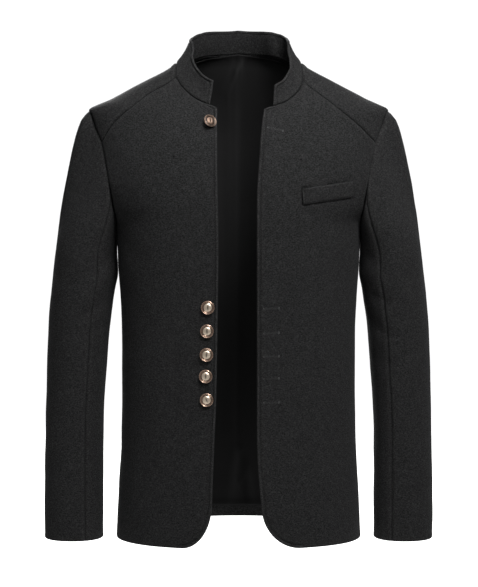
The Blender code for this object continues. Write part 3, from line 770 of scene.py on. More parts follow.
def mapped(tree, place, **inputs):
    """A place that is turned or stretched."""
    return node(tree, "ShaderNodeMapping", {"Vector": place, **inputs}).outputs[0]


def blended(tree, first, first_share, second, second_share):
    """Two values added, each by its share."""
    return maths(tree, "ADD", maths(tree, "MULTIPLY", first, first_share),
                 maths(tree, "MULTIPLY", second, second_share))


def felt_effect():
    """Matted fibres: a melange mask, long pale hairs and the height of the nap."""
    tree, takes, gives = effect(
        "matted_fibres",
        [("Place", "NodeSocketVector", (0, 0, 0)), ("Fibre Size", "NodeSocketFloat", 0.001)],
        [("Melange", "NodeSocketFloat"), ("Hairs", "NodeSocketFloat"),
         ("Height", "NodeSocketFloat")])
    place = takes.outputs["Place"]
    scale = maths(tree, "DIVIDE", 1.0, takes.outputs["Fibre Size"])
    coarse = noise(tree, mapped(tree, place, Scale=(0.62, 0.9, 1.15)), scale, 2.0,
                   Roughness=0.55)
    fine = noise(tree, place, maths(tree, "MULTIPLY", scale, 2.7), 2.0, Roughness=0.7,
                 Distortion=0.6)
    strands = []
    for turn in ((0.4, 0.2, 1.1), (1.3, 0.7, -0.5), (-0.8, 1.5, 0.3)):
        spun = mapped(tree, place, Rotation=turn, Scale=(1.0, 0.16, 1.0))
        strand = noise(tree, spun, maths(tree, "MULTIPLY", scale, 2.2), 1.0, Distortion=0.35)
        strands.append(spread(tree, strand, 0.0, 1.0, 0.60, 0.72))
    hairs = maths(tree, "MAXIMUM", maths(tree, "MAXIMUM", strands[0], strands[1]), strands[2])
    melange = spread(tree, blended(tree, coarse, 0.75, fine, 0.25), 0.0, 1.0, 0.46, 0.67)
    fill(tree, gives, {"Melange": melange, "Hairs": hairs,
                       "Height": blended(tree, fine, 0.6, hairs, 0.35)})
    return tree


def thread_effect():
    """Fine parallel threads that run up and down the cloth."""
    tree, takes, gives = effect(
        "fine_threads",
        [("Place", "NodeSocketVector", (0, 0, 0)), ("Thread Size", "NodeSocketFloat", 0.0004)],
        [("Shade", "NodeSocketFloat"), ("Height", "NodeSocketFloat")])
    place = takes.outputs["Place"]
    scale = maths(tree, "DIVIDE", 1.0, takes.outputs["Thread Size"])
    warp = noise(tree, mapped(tree, place, Scale=(1.0, 1.0, 0.04)), scale, 2.0)
    weft = noise(tree, mapped(tree, place, Scale=(0.05, 0.05, 1.0)), scale, 1.0)
    both = blended(tree, warp, 0.7, weft, 0.3)
    fill(tree, gives, {"Shade": both, "Height": both})
    return tree


def effects(name):
    """A shader effect, built the first time that it is asked for."""
    builders = {"matted_fibres": felt_effect, "fine_threads": thread_effect}
    return bpy.data.node_groups.get(name) or builders[name]()


def use_effect(tree, name, inputs):
    """An effect placed in a material."""
    return node(tree, "ShaderNodeGroup", inputs, node_tree=effects(name))


def new_material(name):
    """A material with its shader, and the object's own coordinates."""
    material = bpy.data.materials.new(name)
    material.use_nodes = True
    tree = material.node_tree
    shader = tree.nodes["Principled BSDF"]
    place = tree.nodes.new("ShaderNodeTexCoord").outputs["Object"]
    return material, tree, shader, place


def mixed(tree, mask, first, second):
    """A colour between two, by a mask."""
    made = node(tree, "ShaderNodeMix", {0: mask}, data_type="RGBA")
    for socket, value in ((made.inputs[6], first), (made.inputs[7], second)):
        if isinstance(value, bpy.types.NodeSocket):
            tree.links.new(value, socket)
        else:
            socket.default_value = (*value, 1)
    return made.outputs[2]


def scaled(tree, colour, factor):
    """A colour made brighter or darker."""
    made = node(tree, "ShaderNodeVectorMath", {0: colour, "Scale": factor}, operation="SCALE")
    return made.outputs[0]


def painted_light_and_shade(tree):
    """Painted light and shade from the piece's own tone: painted shade in grooves, painted
    highlights on edges.
    """
    tone = node(tree, "ShaderNodeAttribute", attribute_name="tone")
    return spread(tree, tone.outputs["Fac"], 0.15, 1.85)


def shade_of(colour, share):
    """A colour at a share of its brightness."""
    return tuple(share * value for value in colour)


def wool_material():
    """Felted charcoal wool: melange, pale hairs, a short nap and the sheen of its fuzz."""
    found = bpy.data.materials.get("charcoal_wool")
    if found:
        return found
    cloth = bpy.context.scene.mao_jacket_cloth
    material, tree, shader, place = new_material("charcoal_wool")
    fibres = use_effect(tree, "matted_fibres",
                        {"Place": place, "Fibre Size": cloth.fibre_size}).outputs
    patches = noise(tree, place, 150.0, 3.0, Roughness=0.6)
    colour = mixed(tree, fibres["Melange"], cloth.wool_dark, cloth.wool_light)
    tone = spread(tree, patches, 0.84, 1.16, 0.3, 0.7)
    # The tone attribute paints shade into grooves and highlights onto rolled edges.
    toned = scaled(tree, colour, maths(tree, "MULTIPLY", tone, painted_light_and_shade(tree)))
    hairs = mixed(tree, maths(tree, "MULTIPLY", fibres["Hairs"], 0.4), toned, cloth.wool_hair)
    bump = node(tree, "ShaderNodeBump",
                {"Strength": 0.7, "Distance": cloth.nap, "Height": fibres["Height"]})
    fill(tree, shader, {
        "Base Color": hairs, "Roughness": spread(tree, fibres["Melange"], 0.95, 0.82),
        "Normal": bump.outputs[0], "Specular IOR Level": 0.1, "Sheen Weight": 0.025,
        "Sheen Roughness": 0.5, "Sheen Tint": (0.75, 0.76, 0.8, 1)})
    return material


def satin_material():
    """Black satin with fine threads and a soft sheen."""
    cloth = bpy.context.scene.mao_jacket_cloth
    material, tree, shader, place = new_material("black_satin")
    threads = use_effect(tree, "fine_threads", {"Place": place, "Thread Size": 0.0005}).outputs
    colour = mixed(tree, threads["Shade"], shade_of(cloth.satin, 0.75),
                   shade_of(cloth.satin, 1.25))
    bump = node(tree, "ShaderNodeBump",
                {"Strength": 0.4, "Distance": 0.0001, "Height": threads["Height"]})
    fill(tree, shader, {
        # The tone attribute paints shade under the neck and toward the foot, and light on the
        # pleats.
        "Base Color": scaled(tree, colour, painted_light_and_shade(tree)),
        "Roughness": spread(tree, threads["Shade"], 0.55, 0.42), "Normal": bump.outputs[0],
        "Specular IOR Level": 0.11, "Sheen Weight": 0.01})
    return material


def thread_material(name, colour):
    """Sewing thread, a little glossier than the wool."""
    material, tree, shader, place = new_material(name)
    fibres = use_effect(tree, "matted_fibres", {"Place": place, "Fibre Size": 0.0003}).outputs
    fill(tree, shader, {
        "Base Color": mixed(tree, fibres["Melange"], shade_of(colour, 0.6), colour),
        "Roughness": spread(tree, fibres["Melange"], 0.7, 0.5)})
    return material


def metal_material(name, colour, roughness, dark_share):
    """Plated metal, with faint brushing and painted shade in its hollows."""
    material, tree, shader, place = new_material(name)
    cloudy = noise(tree, place, 420.0, 3.0)
    brushed = use_effect(tree, "fine_threads", {"Place": place, "Thread Size": 0.0002}).outputs
    plated = mixed(tree, cloudy, shade_of(colour, dark_share), colour)
    fill(tree, shader, {
        "Base Color": scaled(tree, plated, maths(tree, "MINIMUM", painted_light_and_shade(tree), 1.0)),
        "Roughness": spread(tree, brushed["Shade"], roughness * 0.7, roughness * 1.5),
        "Metallic": 1})
    return material


def enamel_material():
    """Dark brown enamel in the groove of a button."""
    material, tree, shader, place = new_material("brown_enamel")
    cloudy = noise(tree, place, 900.0, 2.0)
    fill(tree, shader, {
        "Base Color": mixed(tree, cloudy, (0.006, 0.004, 0.003), (0.03, 0.016, 0.01)),
        "Roughness": spread(tree, cloudy, 0.2, 0.4)})
    return material


# Grids of the pieces

def front_grid(name):
    """Chart grid of a front: rows run from its edge to the armhole and side, columns from the
    neck to the hem. Also the paths of its outline in space, by name."""
    side = SIDES[name]
    edge, corner = front_edge(name)
    neck, yoke = front_neck_seam(name), yoke_seam(name)
    step = np.linspace(edge[0], neck[0], 24)
    top, top_length, top_kinks = joined(step, neck, yoke)
    turn = np.degrees(np.arcsin((np.abs(corner[-1, 0]) / BODY[-1].half) ** (BODY[-1].square / 2)))
    hem = hem_line(side * turn, side * 90, FRONT)
    bottom, bottom_length, _ = joined(corner, hem)
    armhole, flank = armhole_front(side), side_seam(side, FRONT)
    end_path, end_length, end_kinks = joined(armhole, flank)
    count = steps_for(top_length)
    end = along(end_path, spaced(end_length, steps_for(end_length), end_kinks))
    drop = (end[:, 1] - end[0, 1]) / (end[-1, 1] - end[0, 1])
    folds = edge[0, 1] + drop * (edge[-1, 1] - edge[0, 1])
    start = np.stack([np.interp(-folds, -edge[:, 1], edge[:, 0]), folds], -1)
    chart = panel((top, spaced(top_length, count, top_kinks)),
                  (bottom, spaced(bottom_length, count)), start, end)
    lines = {"edge": np.concatenate([step[::-1], edge[1:], corner[1:]]), "neck": neck,
             "yoke": yoke, "armhole": armhole, "side": flank, "hem": hem}
    return chart, {key: thinned(to_space(line)) for key, line in lines.items()}


def back_grid(foot=HEM):
    """Chart grid of the back: rows run from its right side to its left, columns from the neck
    to the hem, or to another foot. Also the paths of its outline in space, by name."""
    top, top_length, top_kinks = joined(yoke_seam("right")[::-1], back_neck_seam(),
                                        yoke_seam("left"))
    hem = hem_line(-90, 90, BACK)
    count = steps_for(top_length, BACK_STEP)
    sides, lines = [], {}
    for name, side in SIDES.items():
        armhole, flank = armhole_back(side), side_seam(side, BACK)
        path, length, kinks = joined(armhole, flank)
        rows = steps_for(length, BACK_STEP)
        sides.append(along(path, spaced(length, rows, kinks, first=4)))
        lines["armhole_" + name], lines["side_" + name] = armhole, flank
        lines["yoke_" + name] = yoke_seam(name)
    chart = panel((top, spaced(top_length, count, top_kinks)),
                  (hem, spaced(lengths_of(to_space(hem))[-1], count)), *sides)
    lines["neck"], lines["hem"] = back_neck_seam(), hem
    if foot != HEM:
        middle = chart.shape[1] // 2
        heights = to_space(chart[:, middle])[:, 2]
        chart = chart[heights > foot]
        lines["hem"] = chart[-1]
    return chart, {key: thinned(to_space(line)) for key, line in lines.items()}


def nearest(grid, lines, names):
    """How far each point of a grid lies from the nearest of the named lines."""
    return np.min([distance_to(grid, lines[name])[0] for name in names], 0)


# Pieces of the trunk

def make_front(name):
    """A front with its stitched edge, neck, yoke and side seams."""
    chart, lines = front_grid(name)
    surface = on_flank(to_space(chart), -1)
    normals = outward(surface)
    edge = distance_to(surface, lines["edge"])[0]
    seams = nearest(surface, lines, ("neck", "yoke", "armhole", "side"))
    hem = distance_to(surface, lines["hem"])[0]
    pinch = ripples(edge, STITCHED_EDGE) + ripples(seams, PLAIN_SEAM) + ripples(hem, TURNED_HEM)
    # tone is painted light: highlights on the rolled edge and hem fold, shade in the stitch groove
    # and seams.
    tone = ripples(edge, EDGE_PAINTED_HIGHLIGHT_AND_SHADE) + ripples(seams, SEAM_PAINTED_SHADE_AND_HIGHLIGHT) + ripples(hem, HEM_PAINTED_HIGHLIGHT)
    if name == "left":
        mouth, foot = (distance_to(surface, line)[0] for line in welt_lines())
        pinch += ripples(mouth, WELT_MOUTH) + ripples(foot, WELT_FOOT)
        # Painted shade in the welt's mouth and along the seam under it.
        tone += ripples(mouth, MOUTH_PAINTED_SHADE) + ripples(foot, WELT_FOOT_PAINTED_SHADE)
    lift = trunk_lift(surface, FRONT)
    lift *= np.clip(np.minimum(seams, edge) / 12, 0, 1) ** 0.5
    lift -= seam_dip(seams)
    outline = np.min([edge, seams, hem], 0)
    piece = shell("front_" + name + "_cloth", surface, normals, outline, WALL, lift, pinch,
                  tone, wool_material())
    dress(piece, "wool", "front_" + name)
    return piece


def make_back():
    """The back with its seams and hem."""
    chart, lines = back_grid()
    surface = on_flank(to_space(chart), 0, -1)
    normals = outward(surface)
    names = [name for name in lines if name != "hem"]
    seams = nearest(surface, lines, names)
    hem = distance_to(surface, lines["hem"])[0]
    pinch = ripples(seams, PLAIN_SEAM) + ripples(hem, TURNED_HEM)
    lift = trunk_lift(surface, BACK)
    lift *= np.clip(seams / 12, 0, 1) ** 0.5
    lift -= seam_dip(seams)
    # tone is painted light: shade in the seams, a highlight on the hem fold, light on the inner hem
    # band.
    tone = ripples(seams, SEAM_PAINTED_SHADE_AND_HIGHLIGHT) + ripples(hem, HEM_PAINTED_HIGHLIGHT)
    piece = shell("back_cloth", surface, normals, np.minimum(seams, hem), WALL, lift, pinch,
                  tone, wool_material(), inner_tone=tone + ripples(hem, BAND_PAINTED_LIGHT))
    dress(piece, "wool", "back")
    return piece


def make_lining():
    """The satin behind the back, with its pleat and puckers."""
    chart, lines = back_grid(foot=LINING_FOOT)
    chart = chart[4:]
    surface = on_flank(to_space(chart), 0, -1)
    normals = outward(surface)
    lines["neck"] = surface[0]
    outline = nearest(surface, lines, lines)
    # tone is painted shade under the neck and toward the foot of the lining.
    tone = ripples(distance_to(surface, surface[0])[0], NECK_SHADE) \
        + ripples(surface[..., 2] - LINING_FOOT, FOOT_SHADE)
    across, height = surface[..., 0], surface[..., 2]
    rise = np.zeros_like(across)
    for pleat in PLEATS:
        share = np.clip((pleat.top - height) / (pleat.top - pleat.foot), 0, 1)
        line = pleat.start + (pleat.end - pleat.start) * share
        reach = np.exp(-((across - line) / pleat.width) ** 2)
        fade = np.clip((pleat.top + 12 - height) / 14, 0, 1) \
            * np.clip((height - pleat.foot + 30) / 60, 0, 1)
        taper = 1 - 0.45 * share
        rise += pleat.rise * reach * fade * taper
    rise *= surface[..., 1] > 0
    # Painted light on the pleats' ridges and painted shade in a sunken fold.
    tone = tone + PLEAT_PAINTED_LIGHT_AND_SHADE * rise
    depth = WALL + LINING_GAP + 0.3 + rise + 0.6 * (waves(surface) + 0.35)
    turned_in = LINING_TURN_IN * np.exp(-(outline / 9) ** 2)
    lift = -(depth + turned_in)
    zero = np.zeros_like(lift)
    piece = shell("back_lining_satin", surface, normals, outline, LINING_WALL, lift, zero,
                  tone, satin_material())
    dress(piece, "satin", "back_lining")
    return piece


# Collar

def neck_path():
    """The whole neck seam in space, from the right end of the collar to its left end."""
    path = joined(front_neck_seam("right"), back_neck_seam(), front_neck_seam("left")[::-1])[0]
    return to_space(path)


def collar_grid():
    """The collar's outer surface: rows go up from the neck seam, columns round the neck."""
    foot = neck_path()
    length = lengths_of(foot)[-1]
    shares = spaced(length, steps_for(length, 2.4))
    foot = at_shares(foot, run_of(foot), shares)
    middle = 0.5
    rise = np.zeros_like(foot)
    for name, side in SIDES.items():
        share = (shares - middle) * side / middle
        held = share >= 0
        rows = COLLAR[name]
        for axis, column_name, sign in ((0, "inward", -side), (1, "forward", -1), (2, "up", 1)):
            values = [getattr(row, column_name) for row in rows]
            moved = smooth([row.share for row in rows], values, share[held])
            rise[held, axis] = sign * moved
    up = spaced(36, 10)[:, None, None]
    grid = foot + up * rise
    return grid - COLLAR_HOLLOW * np.sin(math.pi * up) * grid_normals(grid), foot


def make_collar():
    """The stand collar with its stitched top edge and ends."""
    grid, foot = collar_grid()
    normals = grid_normals(grid)
    seam_normals = outward(foot)
    out = unit(np.cross(np.gradient(foot, axis=0), seam_normals))
    sewn_row = foot - (WALL / 2 + SEAM_DIP) * seam_normals - SEAM_GAP * out
    lines = {"top": thinned(grid[-1]), "right": thinned(grid[:, 0], 30),
             "left": thinned(grid[:, -1], 30), "foot": thinned(grid[0])}
    edge = nearest(grid, lines, ("top", "right", "left"))
    seam_far = distance_to(grid, lines["foot"])[0]
    pinch = ripples(edge, STITCHED_EDGE) + ripples(seam_far, PLAIN_SEAM)
    # tone is painted light: highlights on rolled edges, shade in the stitch groove and the neck
    # seam.
    tone = ripples(edge, EDGE_PAINTED_HIGHLIGHT_AND_SHADE) + ripples(seam_far, SEAM_PAINTED_SHADE_AND_HIGHLIGHT)
    lift = waves(grid) * np.clip(seam_far / 10, 0, 1)
    piece = shell("collar_cloth", grid, normals, np.minimum(edge, seam_far), COLLAR_WALL, lift,
                  pinch, tone, wool_material(), sewn_row)
    dress(piece, "wool", "collar")
    return piece


# Sleeves

def sleeve_point(angle, height):
    """A point of the plain sleeve: angle 0 is its outer side and 90 its front."""
    outer, inner, deep, ahead = (column(SLEEVE, name, height)
                                 for name in ("outer", "inner", "deep", "ahead"))
    turn = np.radians(angle)
    power = 2 / SLEEVE_SQUARE
    across = np.sign(np.cos(turn)) * np.abs(np.cos(turn)) ** power
    ahead_part = np.sign(np.sin(turn)) * np.abs(np.sin(turn)) ** power
    return np.stack([(outer + inner) / 2 + across * (outer - inner) / 2,
                     -ahead - ahead_part * deep, height], -1)


def armhole_loop():
    """The left armhole as a closed line in space, from the underarm up the front and down the
    back, with the angle round the sleeve of each point."""
    path = joined(armhole_front(1)[::-1], armhole_back(1))[0]
    loop = to_space(path)
    run = run_of(loop)
    top = run[np.argmax(loop[:, 2])]
    angles = np.where(run <= top, 180 * (1 - run / top), -180 * (run - top) / (1 - top))
    return loop, run, angles


def seam_shares(run, angles):
    """Where the sleeve's front and back seams start on the armhole."""
    loop = armhole_front(1)[::-1]
    front_share = run[len(loop) - 1]
    notches = np.concatenate([np.linspace(0, front_share, ARMHOLE_NOTCHES[0] + 1),
                              np.linspace(front_share, 1, ARMHOLE_NOTCHES[1] + 1)[1:-1]])
    at = np.interp(notches, run, angles)
    return [notches[np.argmin(np.abs(at - angle))]
            for angle in (FRONT_SEAM_ANGLE, BACK_SEAM_ANGLE)]


def sleeve_half(first, last):
    """Surface of the left sleeve between two shares of the armhole, which may pass 1: rows go
    down from the armhole to the cuff. Also its normals and the row that is sewn in."""
    loop, run, angles = armhole_loop()
    length = lengths_of(loop)[-1] * (last - first)
    shares = first + (last - first) * spaced(length, steps_for(length, 2.8))
    inside = np.mod(shares, 1)
    start = at_shares(loop, run, inside)
    turn = np.interp(inside, run, angles)
    cuff = SLEEVE[-1].height
    drop = SLEEVE_HEAD + CAP_FOOT - cuff
    starts = start[:, 2]
    pull = start - sleeve_point(turn, starts)
    grid = []
    for fallen in drop * spaced(drop, steps_for(drop, 3.6), first=1.6):
        cap = min(fallen / SLEEVE_HEAD, 1)
        arm = max(fallen - SLEEVE_HEAD, 0) / (CAP_FOOT - cuff)
        height = starts + (CAP_FOOT - starts) * cap + (cuff - CAP_FOOT) * arm
        grid.append(sleeve_point(turn, height) + pull * (1 - cap) ** 2 * (1 + 2 * cap))
    grid = np.array(grid)
    sewn_row = start - (WALL / 2 + SEAM_DIP) * outward(start)
    return grid, grid_normals(grid), sewn_row


def on_sleeve(angle, height, face):
    """Points of the left sleeve."""
    return sleeve_point(angle, height)


def make_sleeve_half(half, name, first, last):
    """One of the two pieces of a sleeve."""
    mirror = np.array((SIDES[name], 1, 1))
    grid, normals, sewn_row = sleeve_half(first, last)
    lines = {"armhole": thinned(grid[0]), "cuff": thinned(grid[-1]),
             "front": thinned(grid[:, 0]), "back": thinned(grid[:, -1])}
    seams = nearest(grid, lines, ("armhole", "front", "back"))
    cuff = distance_to(grid, lines["cuff"])[0]
    cap = distance_to(grid, lines["armhole"])[0]
    pinch = ripples(seams, PLAIN_SEAM) + ripples(cuff, TURNED_HEM)
    creases = SLEEVE_CREASES[name]
    lift = waves(grid * mirror) + creased(grid, creases, crease_lines(creases, on_sleeve))
    lift *= np.clip(cap / 14, 0, 1) ** 0.5
    lift -= seam_dip(seams)
    # tone is painted light: shade in the seams, highlights on the cuff fold and below the sleeve
    # head.
    tone = ripples(seams, SEAM_PAINTED_SHADE_AND_HIGHLIGHT) + ripples(cuff, HEM_PAINTED_HIGHLIGHT) + ripples(cap, HEAD_PAINTED_HIGHLIGHT)
    piece = shell(f"{half}_{name}_cloth", grid * mirror, normals * mirror,
                  np.minimum(seams, cuff), WALL, lift, pinch, tone, wool_material(),
                  sewn_row * mirror)
    dress(piece, "wool", f"{half}_{name}")
    return piece


# Things laid on the fronts

def surface_of(piece):
    """A function that gives the place and direction of a piece's face, seen from the front."""
    mesh = piece.data
    tree = BVHTree.FromPolygons([v.co for v in mesh.vertices],
                                [list(p.vertices) for p in mesh.polygons])

    def look(across, height):
        start = Vector((across * MM, -1, height * MM))
        place, normal, _, _ = tree.ray_cast(start, Vector((0, 1, 0)))
        return np.array(place) / MM, np.array(normal)
    return look


def welt_lines():
    """The pocket's mouth above the welt, with its near end, and the seam under the welt."""
    (top_near, top_far), (foot_near, foot_far) = WELT_CORNERS
    mouth = np.array([(foot_near.across - 0.9, foot_near.height + 2),
                      (top_near.across - 0.9, top_near.height + 0.9),
                      (top_far.across - 3, top_far.height + 0.9)])
    foot = np.array([(foot_near.across, foot_near.height - 0.4),
                     (foot_far.across, foot_far.height - 0.4)])
    lines = []
    for line in (mouth, foot):
        marks = thinned(line, 60)
        lines.append(on_trunk(marks[:, 0], marks[:, 1], FRONT))
    return lines


def make_welt():
    """The chest pocket's welt: folded along its top, tacked at its ends."""
    count, rows = steps_for(75, 1.6), steps_for(24.5, 1.2)
    at, down = spaced(75, count), spaced(24.5, rows)
    corners = np.array(WELT_CORNERS, float)
    marks = (corners[0, 0] * (1 - at)[None, :, None] + corners[0, 1] * at[None, :, None]) \
        * (1 - down)[:, None, None] \
        + (corners[1, 0] * (1 - at)[None, :, None] + corners[1, 1] * at[None, :, None]) \
        * down[:, None, None]
    surface = on_trunk(marks[..., 0], marks[..., 1], FRONT)
    normals = outward(surface)
    lines = {"top": thinned(surface[0], 60), "foot": thinned(surface[-1], 60),
             "near": thinned(surface[:, 0], 30), "far": thinned(surface[:, -1], 30)}
    outline = nearest(surface, lines, lines)
    near, far = distance_to(surface, lines["near"])[0], distance_to(surface, lines["far"])[0]
    top, foot = distance_to(surface, lines["top"])[0], distance_to(surface, lines["foot"])[0]
    pinch = ripples(near, (Ripple(3.4, 0.8, -0.45),)) + ripples(foot, (Ripple(0, 2.2, -1.0),)) \
        + ripples(far, (Ripple(0, 4.5, -1.15),)) + ripples(top, (Ripple(1.8, 1.6, 0.35),))
    # tone is painted light: highlights on the folded top and near end, shade at the foot and tack
    # groove.
    tone = ripples(top, (Ripple(1.5, 1.5, 0.25),)) + ripples(foot, (Ripple(0, 1.4, -0.3),)) \
        + ripples(near, (Ripple(0.8, 1.0, 0.2), Ripple(3.4, 0.8, -0.2)))
    lift = trunk_lift(surface, FRONT) + WELT_GAP + WELT_WALL
    piece = shell("chest_welt_cloth", surface, normals, outline, WELT_WALL, lift, pinch,
                  tone, wool_material())
    dress(piece, "wool", "chest_welt")
    return piece


# Sewing

def sewing_tree():
    """Geometry nodes: thread stitches along a path, lying along it or across it."""
    found = bpy.data.node_groups.get("sewn_thread")
    if found:
        return found
    tree = bpy.data.node_groups.new("sewn_thread", "GeometryNodeTree")
    for label, kind in (("Geometry", "NodeSocketGeometry"), ("Stitch", "NodeSocketVector"),
                        ("Spacing", "NodeSocketFloat"), ("Unevenness", "NodeSocketFloat"),
                        ("Seed", "NodeSocketInt"), ("Thread", "NodeSocketMaterial")):
        tree.interface.new_socket(label, in_out="INPUT", socket_type=kind)
    tree.interface.new_socket("Geometry", in_out="OUTPUT", socket_type="NodeSocketGeometry")
    takes = tree.nodes.new("NodeGroupInput").outputs
    curve = node(tree, "GeometryNodeMeshToCurve", {"Mesh": takes["Geometry"]})
    points = node(tree, "GeometryNodeResampleCurve",
                  {"Curve": curve.outputs[0], "Length": takes["Spacing"]}, mode="LENGTH")
    out = node(tree, "GeometryNodeInputNamedAttribute", {"Name": "out"},
               data_type="FLOAT_VECTOR")
    tangent = tree.nodes.new("GeometryNodeInputTangent")
    facing = node(tree, "FunctionNodeAlignRotationToVector",
                  {"Vector": out.outputs[0]}, axis="Z")
    turned = node(tree, "FunctionNodeAlignRotationToVector",
                  {"Rotation": facing.outputs[0], "Vector": tangent.outputs[0]},
                  axis="X", pivot_axis="Z")
    chance = node(tree, "FunctionNodeRandomValue",
                  {"Seed": takes["Seed"]}, data_type="FLOAT")
    low = node(tree, "ShaderNodeMath", {0: 1.0, 1: takes["Unevenness"]}, operation="SUBTRACT")
    chance.inputs[3].default_value = 1.0
    tree.links.new(low.outputs[0], chance.inputs[2])
    size = node(tree, "ShaderNodeVectorMath",
                {0: takes["Stitch"], "Scale": chance.outputs[1]}, operation="SCALE")
    bead = node(tree, "GeometryNodeMeshUVSphere", {"Segments": 6, "Rings": 5, "Radius": 0.5})
    stitches = node(tree, "GeometryNodeInstanceOnPoints",
                    {"Points": points.outputs[0], "Instance": bead.outputs[0],
                     "Rotation": turned.outputs[0], "Scale": size.outputs[0]})
    real = node(tree, "GeometryNodeRealizeInstances", {"Geometry": stitches.outputs[0]})
    shaded = node(tree, "GeometryNodeSetShadeSmooth", {"Geometry": real.outputs[0]})
    done = node(tree, "GeometryNodeSetMaterial",
                {"Geometry": shaded.outputs[0], "Material": takes["Thread"]})
    end = tree.nodes.new("NodeGroupOutput")
    tree.links.new(done.outputs[0], end.inputs[0])
    return tree


def sewn(name, paths, stitch, spacing, finish, unevenness=0.15, seed=1):
    """Stitches along paths of (points, directions out of the cloth), in millimetres, as one
    plain mesh. stitch is their length along the path, across it and out of it."""
    points, edges, out = [], [], []
    for path, directions in paths:
        edges += [(len(points) + k, len(points) + k + 1) for k in range(len(path) - 1)]
        points += (np.asarray(path) * MM).tolist()
        out += np.asarray(directions).tolist()
    mesh = bpy.data.meshes.new(name + "_path")
    mesh.from_pydata(points, edges, [])
    attribute = mesh.attributes.new("out", "FLOAT_VECTOR", "POINT")
    attribute.data.foreach_set("vector", np.array(out, np.float32).ravel())
    guide = add_piece(name + "_path", mesh)
    modifier = guide.modifiers.new("stitches", "NODES")
    modifier.node_group = sewing_tree()
    values = {"Stitch": [size * MM for size in stitch], "Spacing": spacing * MM,
              "Unevenness": unevenness, "Seed": seed, "Thread": finish}
    for item in modifier.node_group.interface.items_tree:
        if item.in_out == "INPUT" and item.name in values:
            modifier[item.identifier] = values[item.name]
    graph = bpy.context.evaluated_depsgraph_get()
    made = bpy.data.meshes.new_from_object(guide.evaluated_get(graph))
    made.name = name
    piece = add_piece(name, made)
    bpy.data.objects.remove(guide)
    dress(piece, "wool")
    return piece


def inset_path(edge, normals, inward, by, keep=0.02):
    """A line inside an edge at a fixed distance, with its crossings at corners left out."""
    moved = edge + by * inward
    far = distance_to(moved[None], edge)[0][0]
    good = far > by * (1 - keep)
    return moved[good], normals[good]


def front_stitch_path(name):
    """The edge stitching of a front, from the collar down to the hem."""
    lines = front_grid(name)[1]
    edge = thinned(lines["edge"], 500)
    normals = outward(edge)
    tangent = unit(np.gradient(edge, axis=0))
    inward = SIDES[name] * np.cross(normals, tangent)
    if np.dot(inward[250], (SIDES[name], 0, 0)) < 0:
        inward = -inward
    path, out = inset_path(edge, normals, inward, STITCH_LINE)
    return path - 0.35 * out, out


def collar_stitch_path():
    """The edge stitching of the collar: up one end, along the top and down the other."""
    grid = collar_grid()[0]
    normals = grid_normals(grid)
    edge = np.concatenate([grid[:, 0], grid[-1, 1:-1], grid[::-1, -1]])
    out = np.concatenate([normals[:, 0], normals[-1, 1:-1], normals[::-1, -1]])
    run = run_of(edge)
    at = np.linspace(0, 1, 500)
    edge, out = at_shares(edge, run, at), unit(at_shares(out, run, at))
    inward = np.cross(out, unit(np.gradient(edge, axis=0)))
    centre = grid[len(grid) // 3, grid.shape[1] // 2]
    if np.dot(inward[250], centre - edge[250]) < 0:
        inward = -inward
    path, out = inset_path(edge, out, inward, STITCH_LINE)
    return path - 0.35 * out, out


# Sizes of a buttonhole: its round eyelet, half the width between its sides, where the sides
# meet the eyelet, half the length of its bar, and how far beyond the eyelet its end stitch lies.
EYELET_RADIUS = 1.7
HOLE_HALF = 1.15
EYELET_LENGTH = 2.2
BAR_HALF = 1.5
END_STITCH = 1.6


def buttonhole_paths(look, hole):
    """A buttonhole's sewn sides round the eyelet, its bar, its slit and its eyelet's end."""
    eyelet, bar = np.array(hole.eyelet), np.array(hole.bar)
    ahead = unit(bar - eyelet)
    side = np.array((-ahead[1], ahead[0]))
    turn = np.radians(np.linspace(35, 325, 13))
    ring = [eyelet + EYELET_RADIUS * (ahead * math.cos(t) + side * math.sin(t)) for t in turn]
    length = np.linalg.norm(bar - eyelet)
    steps = np.linspace(0, length - EYELET_LENGTH, 12)
    upper = [bar + HOLE_HALF * side - ahead * step for step in steps]
    lower = [bar - HOLE_HALF * side - ahead * step for step in steps[::-1]]
    outline = np.array(upper + ring + lower)
    tack = np.array([bar + ahead * 0.3 + side * step
                     for step in np.linspace(-BAR_HALF, BAR_HALF, 5)])
    dot = np.array([eyelet - ahead * END_STITCH + side * step
                    for step in np.linspace(-0.7, 0.7, 4)])
    slit_shadow = np.array([eyelet + ahead * step for step in np.linspace(-0.6, length, 12)])
    placed = []
    for path in (outline, tack, slit_shadow, dot):
        rows = [look(*point) for point in path]
        placed.append((np.array([row[0] for row in rows]), np.array([row[1] for row in rows])))
    return placed


# Buttons

